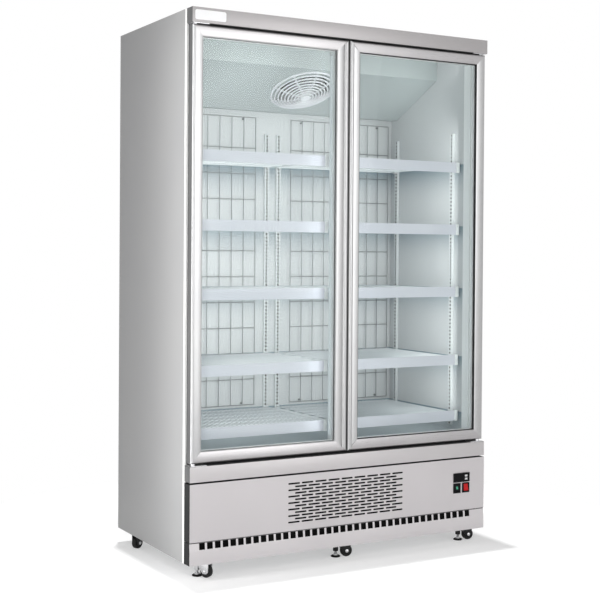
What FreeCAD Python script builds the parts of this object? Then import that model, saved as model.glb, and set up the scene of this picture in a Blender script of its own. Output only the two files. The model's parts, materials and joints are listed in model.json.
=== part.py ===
import FreeCAD, Part

import math
import os

from FreeCAD import Rotation, Vector

# Upright two-door glass display refrigerator on casters.
# Sizes are millimetres. X is to the right, Y to the back, Z up, and the doors face -Y.
# The origin is on the floor, under the middle of the cabinet's outline.

# Cabinet box
CABINET_WIDTH = 1260.0
CABINET_HEIGHT = 1960.0
SIDE_DEPTH = 620.0
GROUND_CLEARANCE = 57.0
SKIN = 1.2
LINER_SKIN = 1.0
SIDE_WALL = 45.0
BACK_WALL = 68.0
CEILING_WALL = 55.0
FLOOR_HEIGHT = 430.0
FLOOR_WALL = 45.0
FACE_FLANGE = 18.0
TRAY_SHEET = 2.0
TRAY_RIM = 25.0

# Door opening frame, mullion and light bars
OPENING_SHEET = 2.0
OPENING_RETURN = 40.0
SEAT_MARGIN = 3.0
MULLION_WIDTH = 88.0
MULLION_DEPTH = 45.0
MULLION_SHEET = 1.5
LIGHT_BAR_WIDTH = 10.0
LIGHT_BAR_DEPTH = 18.0
LIGHT_BAR_SETBACK = 12.0
LIGHT_BAR_END_GAP = 20.0

# Bands of the front, from the top down
HEADER_HEIGHT = 52.0
LOWER_RAIL_DROP = 35.0
LOWER_RAIL_HEIGHT = 54.0
SERVICE_PANEL_GAP = 6.0
KICK_HEIGHT = 76.5
KICK_BEND_HEIGHT = 48.0
KICK_LEAN = 3.0
KICK_SEAM = 2.0

# Openings in the front panels
GRILLE_TOP_GAP = 27.0
GRILLE_ROWS = 13
GRILLE_ROW_PITCH = 11.5
GRILLE_SLOTS = 9
GRILLE_SLOT_PITCH = 55.6
GRILLE_SLOT_LENGTH = 48.0
GRILLE_SLOT_HEIGHT = 6.0
KICK_SLOT_COUNT = 39
KICK_SLOT_PITCH = 29.8
KICK_SLOT_WIDTH = 22.0
KICK_SLOT_HEIGHT = 23.0
KICK_SLOT_FIRST = 37.0
KICK_SLOT_TOP_GAP = 1.5

# Thermostat and switches, placed from the right side and the floor
CONTROL_EDGE_GAP = 72.0
THERMOSTAT_WIDTH = 76.0
THERMOSTAT_HEIGHT = 35.0
THERMOSTAT_PROUD = 4.0
THERMOSTAT_BODY_WIDTH = 71.0
THERMOSTAT_BODY_HEIGHT = 29.0
THERMOSTAT_BODY_DEPTH = 55.0
THERMOSTAT_CENTRE_HEIGHT = 263.0
DISPLAY_WIDTH = 40.0
DISPLAY_HEIGHT = 25.0
DISPLAY_RECESS = 0.6
DISPLAY_EDGE_GAP = 5.0
BUTTON_WIDTH = 12.0
BUTTON_HEIGHT = 7.0
BUTTON_PITCH = 12.0
BUTTON_EDGE_GAP = 11.0
BUTTON_PROUD = 1.0
BUTTON_THICK = 3.0
BUTTON_TRAVEL = 0.8
BUTTON_CLEARANCE = 0.3
SWITCH_WIDTH = 34.0
SWITCH_HEIGHT = 38.0
SWITCH_PROUD = 2.5
SWITCH_RIM = 2.0
SWITCH_BODY_DEPTH = 20.0
SWITCH_CENTRE_HEIGHT = 222.5
ROCKER_WIDTH = 20.0
ROCKER_HEIGHT = 26.0
ROCKER_THROW = 22.0
ROCKER_EDGE = 3.5
ROCKER_DISH = 1.0
ROCKER_PIVOT_DEPTH = 6.0
ROCKER_SHOULDER = 1.0
ROCKER_FOOT = 4.0
ROCKER_PIN_RADIUS = 1.5
ROCKER_PIN_REACH = 1.6
ROCKER_SIDE_GAP = 0.4
ROCKER_END_GAP = 2.2
CUTOUT_CLEARANCE = 0.3

# Doors
DOOR_EDGE_INSET = 5.0
DOOR_MEETING_GAP = 4.0
DOOR_TOP_GAP = 5.0
DOOR_BOTTOM_GAP = 9.0
DOOR_STANDOFF = 8.0
DOOR_THICKNESS = 34.0
DOOR_SETBACK = 4.0
FRAME_BAR = 39.0
FRAME_CORNER = 9.0
PULL_BAR = 46.0
PULL_WIDTH = 20.0
LIP_DROP = 4.0
LIP_THICKNESS = 9.0
GLASS_REBATE = 9.0
GLASS_PANE = 4.0
GLASS_GAP = 10.0
GLASS_CLEARANCE = 0.5
SPACER_WIDTH = 7.0
BEAD_WIDTH = 8.0
SEAL_CLEARANCE = 0.3
GASKET_INSET = 16.0
GASKET_WIDTH = 14.0

# Door hinges
HINGE_INSET = 15.0
HINGE_DEPTH = 17.0
HINGE_PIN_RADIUS = 4.5
HINGE_PIN_LENGTH = 18.0
HINGE_PLATE = 2.5
HINGE_PLATE_LENGTH = 60.0
HINGE_PLATE_DEPTH = 36.0
HINGE_BOSS_RADIUS = 8.0
HINGE_END_PLAY = 0.3
RUNNING_FIT = 0.05

# Shelving
PILASTER_WIDTH = 20.0
PILASTER_DEPTH = 10.0
PILASTER_SHEET = 1.5
PILASTER_TOP_GAP = 90.0
PILASTER_FLOOR_GAP = 15.0
PILASTER_FRONT_SETBACK = 110.0
PILASTER_REAR_GAP = 52.0
BACK_PILASTER_OFFSET = 27.0
MULLION_PILASTER_OFFSET = 13.0
SLOT_WIDTH = 4.0
SLOT_HEIGHT = 14.0
CLIP_WIDTH = 14.0
CLIP_REACH = 12.0
CLIP_HEIGHT = 9.0
CLIP_TONGUE_WIDTH = 3.0
CLIP_TONGUE_HEIGHT = 8.0
CLIP_TONGUE_REACH = 6.0
SHELF_FLOOR_GAP = 78.0
SHELF_TOP_GAP = 209.0
SHELF_STEPS = (0, 9, 20, 30, 40)
SHELF_FRONT_SETBACK = 60.0
SHELF_WALL_GAP = 12.0
SHELF_CENTRE_GAP = 10.0
SHELF_REAR_GAP = 8.0
SHELF_WIRE = 5.0
SHELF_BORDER = 7.0
SHELF_WIRE_PITCH = 24.0
SHELF_CROSS_WIRES = 2
STRIP_HEIGHT = 40.0
STRIP_THICKNESS = 3.0
STRIP_LIP = 6.0
STRIP_CORNER = 10.0
STRIP_RETURN = 18.0
STRIP_CENTRE_GAP = 4.0
STRIP_END_GAP = 0.3
GRID_OUTER_GAP = 23.0
GRID_INNER_EDGE = 80.0
GRID_FLOOR_GAP = 82.0
GRID_TOP_GAP = 24.7
GRID_ROWS = 11
GRID_TOP_ROW = 123.3
GRID_COLUMNS = 9
GRID_WIRE = 4.0
GRID_STANDOFF = 10.0
GRID_STANDOFF_RADIUS = 3.0

# Evaporator and its fan
COVER_FRONT_SETBACK = 224.0
COVER_FACE_HEIGHT = 73.0
COVER_SLOPE_RUN = 284.0
COVER_SLOPE_DROP = 135.0
COVER_SHEET = 1.5
COVER_END_GAP = 0.5
FAN_SLOPE_PLACE = 146.0
FAN_SIDE_OFFSET = 34.0
FAN_OPENING_RADIUS = 103.0
GUARD_RADIUS = 134.0
GUARD_RIM = 12.0
GUARD_BAR = 3.0
GUARD_DOME = 34.0
GUARD_RINGS = 6
GUARD_HUB_RADIUS = 18.0
GUARD_SPOKES = 3
FAN_RADIUS = 95.0
FAN_BLADES = 5
FAN_BLADE_WIDTH = 58.0
FAN_BLADE_SHEET = 2.0
FAN_BLADE_PITCH = 26.0
FAN_HUB_RADIUS = 24.0
FAN_HUB_LENGTH = 28.0
FAN_HUB_GAP = 24.0
SPINDLE_RADIUS = 4.0
SPINDLE_REACH = 12.0
MOTOR_RADIUS = 32.0
MOTOR_LENGTH = 38.0
MOTOR_GAP = 8.0
BRACKET_SHEET = 3.0
BRACKET_WIDTH = 18.0
BRACKET_GAP = 14.0
COIL_LENGTH = 800.0
COIL_DEPTH = 66.0
COIL_HEIGHT = 150.0
COIL_BACK_GAP = 6.0
COIL_TOP_GAP = 12.0
COIL_END_PLATE = 3.0
COIL_END_MARGIN = 5.0

# Machine compartment
CONDENSER_WIDTH = 420.0
CONDENSER_DEPTH = 60.0
CONDENSER_HEIGHT = 240.0
CONDENSER_CENTRE = -20.0
CONDENSER_SETBACK = 40.0
CONDENSER_FOOT = 6.0
CONDENSER_FAN_HEIGHT = 124.0
COMPRESSOR_EDGE_GAP = 300.0
COMPRESSOR_SETBACK = 400.0
COMPRESSOR_RADIUS = 82.0
COMPRESSOR_HEIGHT = 175.0
COMPRESSOR_PLATE = 3.0
COMPRESSOR_PLATE_LENGTH = 230.0
COMPRESSOR_PLATE_DEPTH = 150.0
COMPRESSOR_FOOT_RADIUS = 12.0
COMPRESSOR_FOOT_HEIGHT = 18.0
STUB_OFFSET = 50.0
STUB_RISE = 26.0
PIPE_RADIUS = 5.0
PIPE_BEND = 16.0
PIPE_RISE = 50.0
PIPE_BACK_GAP = 60.0
CONDENSATE_WIDTH = 220.0
CONDENSATE_DEPTH = 260.0
CONDENSATE_HEIGHT = 60.0
CONDENSATE_SHEET = 2.0
CONDENSATE_EDGE_GAP = 250.0
CONDENSATE_SETBACK = 250.0
VENT_ROWS = 8
VENT_ROW_PITCH = 22.0
VENT_COLUMNS = 4
VENT_COLUMN_PITCH = 180.0
VENT_LENGTH = 130.0
VENT_HEIGHT = 9.0
VENT_CENTRE_HEIGHT = 230.0
GLAND_EDGE_GAP = 120.0
GLAND_CENTRE_HEIGHT = 110.0
GLAND_PROUD = 8.0
GLAND_NUT_RADIUS = 14.0
GLAND_NUT = 4.0
GLAND_NECK_RADIUS = 9.0
GLAND_BORE_RADIUS = 4.0
GLAND_INNER_NUT_GAP = 0.3

# Casters and levelling feet
CASTER_EDGE_INSET = 65.0
FRONT_CASTER_SETBACK = 32.0
REAR_CASTER_GAP = 110.0
FRONT_HEADINGS = (-60.0, -15.0, -12.0)
REAR_HEADINGS = (205.0, 190.0, 195.0)
CASTER_PLATE_SIZE = 56.0
CASTER_PLATE = 3.0
SWIVEL_GAP = 0.3
SWIVEL_DISC = 6.0
SWIVEL_DISC_RADIUS = 24.0
KINGPIN_RADIUS = 8.0
KINGPIN_LENGTH = 5.0
WHEEL_RADIUS = 22.0
WHEEL_WIDTH = 20.0
WHEEL_CORNER = 4.0
WHEEL_TRAIL = 40.0
AXLE_RADIUS = 3.5
CHEEK = 2.5
CHEEK_GAP = 1.0
CHEEK_DROP = 8.0
CHEEK_HALF_LENGTH = 15.0
BOSS_RADIUS = 10.0
BOSS_BOTTOM = 22.0
PAD_RADIUS = 18.0
PAD_THICKNESS = 7.0
STEM_RADIUS = 5.0
STEM_TOP = 38.0

# Levels and planes that follow from the sizes above
ROCKER_TILT = math.radians(ROCKER_THROW / 2)
ROCKER_PROUD = (ROCKER_HEIGHT / 2 * math.sin(ROCKER_TILT)
                + (ROCKER_EDGE + ROCKER_PIVOT_DEPTH) * math.cos(ROCKER_TILT) - ROCKER_PIVOT_DEPTH)
FRONT_PROJECTION = DOOR_STANDOFF + DOOR_THICKNESS + DOOR_SETBACK
HALF_WIDTH = CABINET_WIDTH / 2
FACE_Y = (FRONT_PROJECTION + ROCKER_PROUD - SIDE_DEPTH - GLAND_PROUD) / 2
FRONT_Y = FACE_Y - FRONT_PROJECTION
BACK_Y = FACE_Y + SIDE_DEPTH
INNER_HALF = HALF_WIDTH - SIDE_WALL
INNER_BACK_Y = BACK_Y - BACK_WALL
CEILING_Z = CABINET_HEIGHT - CEILING_WALL
FLOOR_BOTTOM_Z = FLOOR_HEIGHT - FLOOR_WALL
HEADER_BOTTOM_Z = CABINET_HEIGHT - HEADER_HEIGHT
RAIL_TOP_Z = FLOOR_HEIGHT - LOWER_RAIL_DROP
LOWER_RAIL_BOTTOM = RAIL_TOP_Z - LOWER_RAIL_HEIGHT
PANEL_TOP_Z = LOWER_RAIL_BOTTOM - SERVICE_PANEL_GAP
KICK_TOP_Z = GROUND_CLEARANCE + KICK_HEIGHT
PANEL_BOTTOM_Z = KICK_TOP_Z + KICK_SEAM
GRILLE_CENTRE_HEIGHT = (PANEL_TOP_Z - GRILLE_TOP_GAP - (GRILLE_ROWS - 1) / 2 * GRILLE_ROW_PITCH
                        - GRILLE_SLOT_HEIGHT / 2)
TRAY_TOP_Z = GROUND_CLEARANCE + TRAY_SHEET
DOOR_BOTTOM_Z = RAIL_TOP_Z + DOOR_BOTTOM_GAP
DOOR_TOP_Z = HEADER_BOTTOM_Z - DOOR_TOP_GAP
DOOR_BACK_Y = FACE_Y - DOOR_STANDOFF
LIP_DEPTH = DOOR_THICKNESS - LIP_DROP
GLASS_FRONT_DEPTH = LIP_DEPTH - LIP_THICKNESS
GLASS_BACK_DEPTH = GLASS_FRONT_DEPTH - 2 * GLASS_PANE - GLASS_GAP
HINGE_X = HALF_WIDTH - DOOR_EDGE_INSET - HINGE_INSET
HINGE_Y = DOOR_BACK_Y - HINGE_DEPTH
HEAD_BOTTOM_Z = DOOR_TOP_Z - GASKET_INSET - GASKET_WIDTH - SEAT_MARGIN
SILL_TOP_Z = DOOR_BOTTOM_Z + GASKET_INSET + GASKET_WIDTH + SEAT_MARGIN
OPENING_HALF = INNER_HALF - OPENING_SHEET
PILASTER_BOTTOM_Z = FLOOR_HEIGHT + PILASTER_FLOOR_GAP
DECK_DROP = STRIP_LIP + SHELF_WIRE
SHELF_FRONT_Y = FACE_Y + SHELF_FRONT_SETBACK
SHELF_BACK_Y = INNER_BACK_Y - PILASTER_DEPTH - SHELF_REAR_GAP
COVER_FRONT_Y = FACE_Y + COVER_FRONT_SETBACK
COVER_LIP_Z = CEILING_Z - COVER_FACE_HEIGHT
COVER_TOE_Z = COVER_LIP_Z - COVER_SLOPE_DROP
PILASTER_TOP = COVER_TOE_Z - PILASTER_TOP_GAP
SHELF_LOWEST_TOP = FLOOR_HEIGHT + SHELF_FLOOR_GAP
SLOT_PITCH = (COVER_TOE_Z - SHELF_TOP_GAP - SHELF_LOWEST_TOP) / SHELF_STEPS[-1]
GRID_WIDTH = INNER_HALF - GRID_OUTER_GAP - GRID_INNER_EDGE
GRID_BOTTOM = FLOOR_HEIGHT + GRID_FLOOR_GAP
GRID_TOP_Z = COVER_TOE_Z - GRID_TOP_GAP
GRID_ROW_PITCH = (GRID_TOP_Z - GRID_TOP_ROW - GRID_BOTTOM - GRID_WIRE) / (GRID_ROWS - 1)
COVER_SLOPE = math.atan2(COVER_SLOPE_DROP, COVER_SLOPE_RUN)
CONDENSER_BACK_Y = FACE_Y + CONDENSER_SETBACK + CONDENSER_DEPTH
COMPRESSOR_CENTRE = HALF_WIDTH - COMPRESSOR_EDGE_GAP
COMPRESSOR_Y = FACE_Y + COMPRESSOR_SETBACK
COMPRESSOR_TOP_Z = TRAY_TOP_Z + COMPRESSOR_FOOT_HEIGHT + COMPRESSOR_PLATE + COMPRESSOR_HEIGHT
STUB_TOP_Z = COMPRESSOR_TOP_Z + STUB_RISE
CONDENSATE_CENTRE = CONDENSATE_EDGE_GAP - HALF_WIDTH
MOTOR_BASE = FAN_HUB_GAP + FAN_HUB_LENGTH + MOTOR_GAP
MOTOR_TOP = MOTOR_BASE + MOTOR_LENGTH
SWIVEL_TOP_Z = GROUND_CLEARANCE - CASTER_PLATE - SWIVEL_GAP
SWIVEL_BOTTOM_Z = SWIVEL_TOP_Z - SWIVEL_DISC
SIDES = (-1, 1)


def box(x0, x1, y0, y1, z0, z1):
    low = Vector(min(x0, x1), min(y0, y1), min(z0, z1))
    return Part.makeBox(abs(x1 - x0), abs(y1 - y0), abs(z1 - z0), low)


def cylinder(radius, length, base, direction=Vector(0, 0, 1)):
    return Part.makeCylinder(radius, length, base, direction)


def joined(first, *others):
    return first.fuse(list(others)).removeSplitter()


def group(solids):
    return Part.makeCompound(solids)


def front_point(x, z):
    return Vector(x, FRONT_Y, z)


def rectangle(u0, u1, v0, v1, place):
    corners = [place(u0, v0), place(u1, v0), place(u1, v1), place(u0, v1)]
    return Part.makePolygon(corners + corners[:1])


def round_slot(u, v, length, height, place):
    radius = height / 2
    reach = length / 2 - radius
    right = Part.Arc(place(u + reach, v - radius), place(u + length / 2, v), place(u + reach, v + radius))
    left = Part.Arc(place(u - reach, v + radius), place(u - length / 2, v), place(u - reach, v - radius))
    top = Part.LineSegment(place(u + reach, v + radius), place(u - reach, v + radius))
    bottom = Part.LineSegment(place(u - reach, v - radius), place(u + reach, v - radius))
    return Part.Wire([curve.toShape() for curve in (right, top, left, bottom)])


def holed_plate(outline, holes, thickness):
    return Part.makeFace([outline] + holes, "Part::FaceMakerCheese").extrude(thickness)


def prism(points, direction):
    return Part.Face(Part.makePolygon(points + points[:1])).extrude(direction)


def open_backed_case(x0, x1, z0, z1):
    # A folded sheet case in front of the cabinet face, open towards the cabinet.
    outside = box(x0, x1, FRONT_Y, FACE_Y, z0, z1)
    inside = box(x0 + SKIN, x1 - SKIN, FRONT_Y + SKIN, FACE_Y, z0 + SKIN, z1 - SKIN)
    return outside.cut(inside)


def bars_around(x0, x1, z0, z1, width, y0, y1):
    # Four bars along the inside of a rectangle, butted at the corners.
    return [
        box(x0, x0 + width, y0, y1, z0, z1),
        box(x1 - width, x1, y0, y1, z0, z1),
        box(x0 + width, x1 - width, y0, y1, z0, z0 + width),
        box(x0 + width, x1 - width, y0, y1, z1 - width, z1),
    ]


# Cabinet box

def side_panel(side):
    outer = side * HALF_WIDTH
    sheet = box(outer, outer - side * SKIN, FACE_Y, BACK_Y, GROUND_CLEARANCE, CABINET_HEIGHT)
    flange = box(outer, outer - side * FACE_FLANGE, FACE_Y, FACE_Y + SKIN, GROUND_CLEARANCE, CABINET_HEIGHT)
    return joined(sheet, flange)


def top_panel():
    inside = HALF_WIDTH - SKIN
    return box(-inside, inside, FACE_Y + SKIN, BACK_Y, CABINET_HEIGHT - SKIN, CABINET_HEIGHT)


def gland_centre():
    return HALF_WIDTH - GLAND_EDGE_GAP, GLAND_CENTRE_HEIGHT


def back_panel():
    inside = HALF_WIDTH - SKIN

    def place(x, z):
        return Vector(x, BACK_Y - SKIN, z)

    outline = rectangle(-inside, inside, GROUND_CLEARANCE, CABINET_HEIGHT - SKIN, place)
    holes = []
    for row in range(VENT_ROWS):
        z = VENT_CENTRE_HEIGHT + (row - (VENT_ROWS - 1) / 2) * VENT_ROW_PITCH
        for column in range(VENT_COLUMNS):
            x = (column - (VENT_COLUMNS - 1) / 2) * VENT_COLUMN_PITCH
            holes.append(round_slot(x, z, VENT_LENGTH, VENT_HEIGHT, place))
    x, z = gland_centre()
    neck = cylinder(GLAND_NECK_RADIUS + CUTOUT_CLEARANCE, SKIN, place(x, z), Vector(0, 1, 0))
    return holed_plate(outline, holes, Vector(0, SKIN, 0)).cut(neck)


def cable_gland():
    x, z = gland_centre()
    inward = Vector(0, -1, 0)
    neck = cylinder(GLAND_NECK_RADIUS, GLAND_PROUD + SKIN + GLAND_NUT + GLAND_INNER_NUT_GAP,
                    Vector(x, BACK_Y + GLAND_PROUD, z), inward)
    outer_nut = cylinder(GLAND_NUT_RADIUS, GLAND_NUT, Vector(x, BACK_Y + GLAND_NUT, z), inward)
    inner_face = BACK_Y - SKIN - GLAND_INNER_NUT_GAP
    inner_nut = cylinder(GLAND_NUT_RADIUS, GLAND_NUT, Vector(x, inner_face, z), inward)
    bore = cylinder(GLAND_BORE_RADIUS, GLAND_PROUD, Vector(x, BACK_Y + GLAND_PROUD, z), inward)
    return joined(neck, outer_nut, inner_nut).cut(bore)


def base_tray():
    inside = HALF_WIDTH - SKIN
    rim_top = TRAY_TOP_Z + TRAY_RIM
    floor = box(-inside, inside, FACE_Y + SKIN, BACK_Y - SKIN, GROUND_CLEARANCE, TRAY_TOP_Z)
    rims = [box(side * inside, side * (inside - TRAY_SHEET), FACE_Y + SKIN, BACK_Y - SKIN,
                GROUND_CLEARANCE, rim_top) for side in SIDES]
    return joined(floor, *rims)


def wall_insulation():
    front = FACE_Y + SKIN
    back = BACK_Y - SKIN
    top = CABINET_HEIGHT - SKIN
    lined = INNER_HALF + LINER_SKIN
    lined_back = INNER_BACK_Y + LINER_SKIN
    skinned = HALF_WIDTH - SKIN
    slabs = [box(side * lined, side * skinned, front, back, FLOOR_BOTTOM_Z, top) for side in SIDES]
    slabs.append(box(-lined, lined, lined_back, back, FLOOR_BOTTOM_Z, top))
    slabs.append(box(-lined, lined, front, lined_back, CEILING_Z + LINER_SKIN, top))
    slabs.append(box(-lined, lined, front, lined_back, FLOOR_BOTTOM_Z, FLOOR_HEIGHT - LINER_SKIN))
    return group(slabs)


def inner_liner():
    front = FACE_Y + SKIN
    lined = INNER_HALF + LINER_SKIN
    below = FLOOR_HEIGHT - LINER_SKIN
    above = CEILING_Z + LINER_SKIN
    sheets = [box(side * INNER_HALF, side * lined, front, INNER_BACK_Y, FLOOR_HEIGHT, CEILING_Z)
              for side in SIDES]
    sheets.append(box(-lined, lined, INNER_BACK_Y, INNER_BACK_Y + LINER_SKIN, below, above))
    sheets.append(box(-lined, lined, front, INNER_BACK_Y, below, FLOOR_HEIGHT))
    sheets.append(box(-lined, lined, front, INNER_BACK_Y, CEILING_Z, above))
    return group(sheets)


def door_opening_frame():
    # Each bar has a flange over the edge of the foam and a return into the cabinet.
    flange_back = FACE_Y + SKIN
    return_back = FACE_Y + OPENING_RETURN
    flange_half = HALF_WIDTH - FACE_FLANGE
    bars = []
    for side in SIDES:
        edge = side * OPENING_HALF
        flange = box(side * flange_half, edge, FACE_Y, flange_back, SILL_TOP_Z, HEAD_BOTTOM_Z)
        inner = box(side * INNER_HALF, edge, FACE_Y, return_back, SILL_TOP_Z, HEAD_BOTTOM_Z)
        bars.append(joined(flange, inner))
    head = box(-flange_half, flange_half, FACE_Y, flange_back, HEAD_BOTTOM_Z, CABINET_HEIGHT)
    head_return = box(-INNER_HALF, INNER_HALF, FACE_Y, return_back,
                      HEAD_BOTTOM_Z, HEAD_BOTTOM_Z + OPENING_SHEET)
    bars.append(joined(head, head_return))
    sill = box(-flange_half, flange_half, FACE_Y, flange_back, FLOOR_BOTTOM_Z, SILL_TOP_Z)
    sill_return = box(-INNER_HALF, INNER_HALF, FACE_Y, return_back, SILL_TOP_Z - OPENING_SHEET, SILL_TOP_Z)
    bars.append(joined(sill, sill_return))
    return group(bars)


def centre_mullion():
    half = MULLION_WIDTH / 2
    inner = half - MULLION_SHEET
    back = FACE_Y + MULLION_DEPTH
    tube = box(-half, half, FACE_Y, back, SILL_TOP_Z, HEAD_BOTTOM_Z)
    hollow = box(-inner, inner, FACE_Y + MULLION_SHEET, back - MULLION_SHEET, SILL_TOP_Z, HEAD_BOTTOM_Z)
    return tube.cut(hollow)


def led_light_bars():
    near = MULLION_WIDTH / 2
    front = FACE_Y + LIGHT_BAR_SETBACK
    return group([
        box(side * near, side * (near + LIGHT_BAR_WIDTH), front, front + LIGHT_BAR_DEPTH,
            SILL_TOP_Z + LIGHT_BAR_END_GAP, HEAD_BOTTOM_Z - LIGHT_BAR_END_GAP)
        for side in SIDES
    ])


# Front of the cabinet

def header_canopy():
    return open_backed_case(-HALF_WIDTH, HALF_WIDTH, HEADER_BOTTOM_Z, CABINET_HEIGHT)


def lower_rail():
    return open_backed_case(-HALF_WIDTH, HALF_WIDTH, LOWER_RAIL_BOTTOM, RAIL_TOP_Z)


def control_left_edge():
    return HALF_WIDTH - CONTROL_EDGE_GAP - THERMOSTAT_WIDTH


def thermostat_centre():
    return control_left_edge() + THERMOSTAT_WIDTH / 2


def switch_centre(place):
    # The switches line up with the two ends of the thermostat above them.
    left = control_left_edge() + SWITCH_WIDTH / 2
    right = control_left_edge() + THERMOSTAT_WIDTH - SWITCH_WIDTH / 2
    return left if place == "left" else right


def grille_slots():
    slots = []
    for row in range(GRILLE_ROWS):
        count = GRILLE_SLOTS - row % 2
        z = GRILLE_CENTRE_HEIGHT + (row - (GRILLE_ROWS - 1) / 2) * GRILLE_ROW_PITCH
        for column in range(count):
            x = (column - (count - 1) / 2) * GRILLE_SLOT_PITCH
            slots.append(round_slot(x, z, GRILLE_SLOT_LENGTH, GRILLE_SLOT_HEIGHT, front_point))
    return slots


def front_service_panel():
    case = open_backed_case(-HALF_WIDTH, HALF_WIDTH, PANEL_BOTTOM_Z, PANEL_TOP_Z)
    outline = rectangle(-HALF_WIDTH, HALF_WIDTH, PANEL_BOTTOM_Z, PANEL_TOP_Z, front_point)
    sheet = holed_plate(outline, grille_slots(), Vector(0, SKIN, 0))
    blank = box(-HALF_WIDTH, HALF_WIDTH, FRONT_Y, FRONT_Y + SKIN, PANEL_BOTTOM_Z, PANEL_TOP_Z)
    panel = joined(case.cut(blank), sheet)
    half_width = THERMOSTAT_BODY_WIDTH / 2 + CUTOUT_CLEARANCE
    half_height = THERMOSTAT_BODY_HEIGHT / 2 + CUTOUT_CLEARANCE
    x = thermostat_centre()
    cutouts = [box(x - half_width, x + half_width, FRONT_Y, FRONT_Y + SKIN,
                   THERMOSTAT_CENTRE_HEIGHT - half_height, THERMOSTAT_CENTRE_HEIGHT + half_height)]
    for place in ("left", "right"):
        x = switch_centre(place)
        half_width = SWITCH_WIDTH / 2 - SWITCH_RIM + CUTOUT_CLEARANCE
        half_height = SWITCH_HEIGHT / 2 - SWITCH_RIM + CUTOUT_CLEARANCE
        cutouts.append(box(x - half_width, x + half_width, FRONT_Y, FRONT_Y + SKIN,
                           SWITCH_CENTRE_HEIGHT - half_height, SWITCH_CENTRE_HEIGHT + half_height))
    return panel.cut(group(cutouts))


def kick_plate():
    # The sheet stands upright, then leans back towards its top, where the slots are.
    bend_z = GROUND_CLEARANCE + KICK_BEND_HEIGHT
    lean_y = FRONT_Y + KICK_LEAN
    section = [
        Vector(-HALF_WIDTH, FRONT_Y, GROUND_CLEARANCE),
        Vector(-HALF_WIDTH, FRONT_Y, bend_z),
        Vector(-HALF_WIDTH, lean_y, KICK_TOP_Z),
    ]
    back_edge = [
        Vector(-HALF_WIDTH, FACE_Y, KICK_TOP_Z),
        Vector(-HALF_WIDTH, FACE_Y, GROUND_CLEARANCE),
    ]
    end_plate = prism(section + back_edge, Vector(SKIN, 0, 0))
    other_end = end_plate.translated(Vector(CABINET_WIDTH - SKIN, 0, 0))
    inner = [point + Vector(0, SKIN, 0) for point in reversed(section)]
    sheet = prism(section + inner, Vector(CABINET_WIDTH, 0, 0))
    foot = box(-HALF_WIDTH, HALF_WIDTH, FRONT_Y, FACE_Y, GROUND_CLEARANCE, GROUND_CLEARANCE + SKIN)
    plate = joined(sheet, foot, end_plate, other_end)
    top = KICK_TOP_Z - KICK_SLOT_TOP_GAP
    first = KICK_SLOT_FIRST - HALF_WIDTH
    slots = [box(first + step * KICK_SLOT_PITCH, first + step * KICK_SLOT_PITCH + KICK_SLOT_WIDTH,
                 FRONT_Y, lean_y + SKIN, top - KICK_SLOT_HEIGHT, top) for step in range(KICK_SLOT_COUNT)]
    return plate.cut(group(slots))


# Thermostat and switches

def button_centre(step):
    x = control_left_edge() + THERMOSTAT_WIDTH - BUTTON_EDGE_GAP - BUTTON_WIDTH / 2
    return x, THERMOSTAT_CENTRE_HEIGHT + step * BUTTON_PITCH / 2


def thermostat_housing():
    x = thermostat_centre()
    z = THERMOSTAT_CENTRE_HEIGHT
    left = control_left_edge()
    face = FRONT_Y - THERMOSTAT_PROUD
    right = left + THERMOSTAT_WIDTH
    half_front = THERMOSTAT_HEIGHT / 2
    half_width = THERMOSTAT_BODY_WIDTH / 2
    half_body = THERMOSTAT_BODY_HEIGHT / 2
    bezel = box(left, right, face, FRONT_Y, z - half_front, z + half_front)
    body = box(x - half_width, x + half_width, FRONT_Y, FRONT_Y + THERMOSTAT_BODY_DEPTH,
               z - half_body, z + half_body)
    window_left = left + DISPLAY_EDGE_GAP
    window = box(window_left, window_left + DISPLAY_WIDTH, face, face + DISPLAY_RECESS,
                 z - DISPLAY_HEIGHT / 2, z + DISPLAY_HEIGHT / 2)
    half_key = BUTTON_WIDTH / 2 + BUTTON_CLEARANCE
    half_height = BUTTON_HEIGHT / 2 + BUTTON_CLEARANCE
    pocket_floor = face - BUTTON_PROUD + BUTTON_THICK + BUTTON_TRAVEL + BUTTON_CLEARANCE
    pockets = [box(u - half_key, u + half_key, face, pocket_floor, v - half_height, v + half_height)
               for u, v in (button_centre(1), button_centre(-1))]
    return joined(bezel, body).cut(group([window] + pockets))


def thermostat_button(step):
    x, z = button_centre(step)
    face = FRONT_Y - THERMOSTAT_PROUD - BUTTON_PROUD
    key = box(x - BUTTON_WIDTH / 2, x + BUTTON_WIDTH / 2, face, face + BUTTON_THICK,
              z - BUTTON_HEIGHT / 2, z + BUTTON_HEIGHT / 2)
    front_edges = [edge for edge in key.Edges if abs(edge.BoundBox.YMax - face) < 1e-6]
    return key.makeChamfer(BUTTON_PROUD / 2, front_edges)


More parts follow.
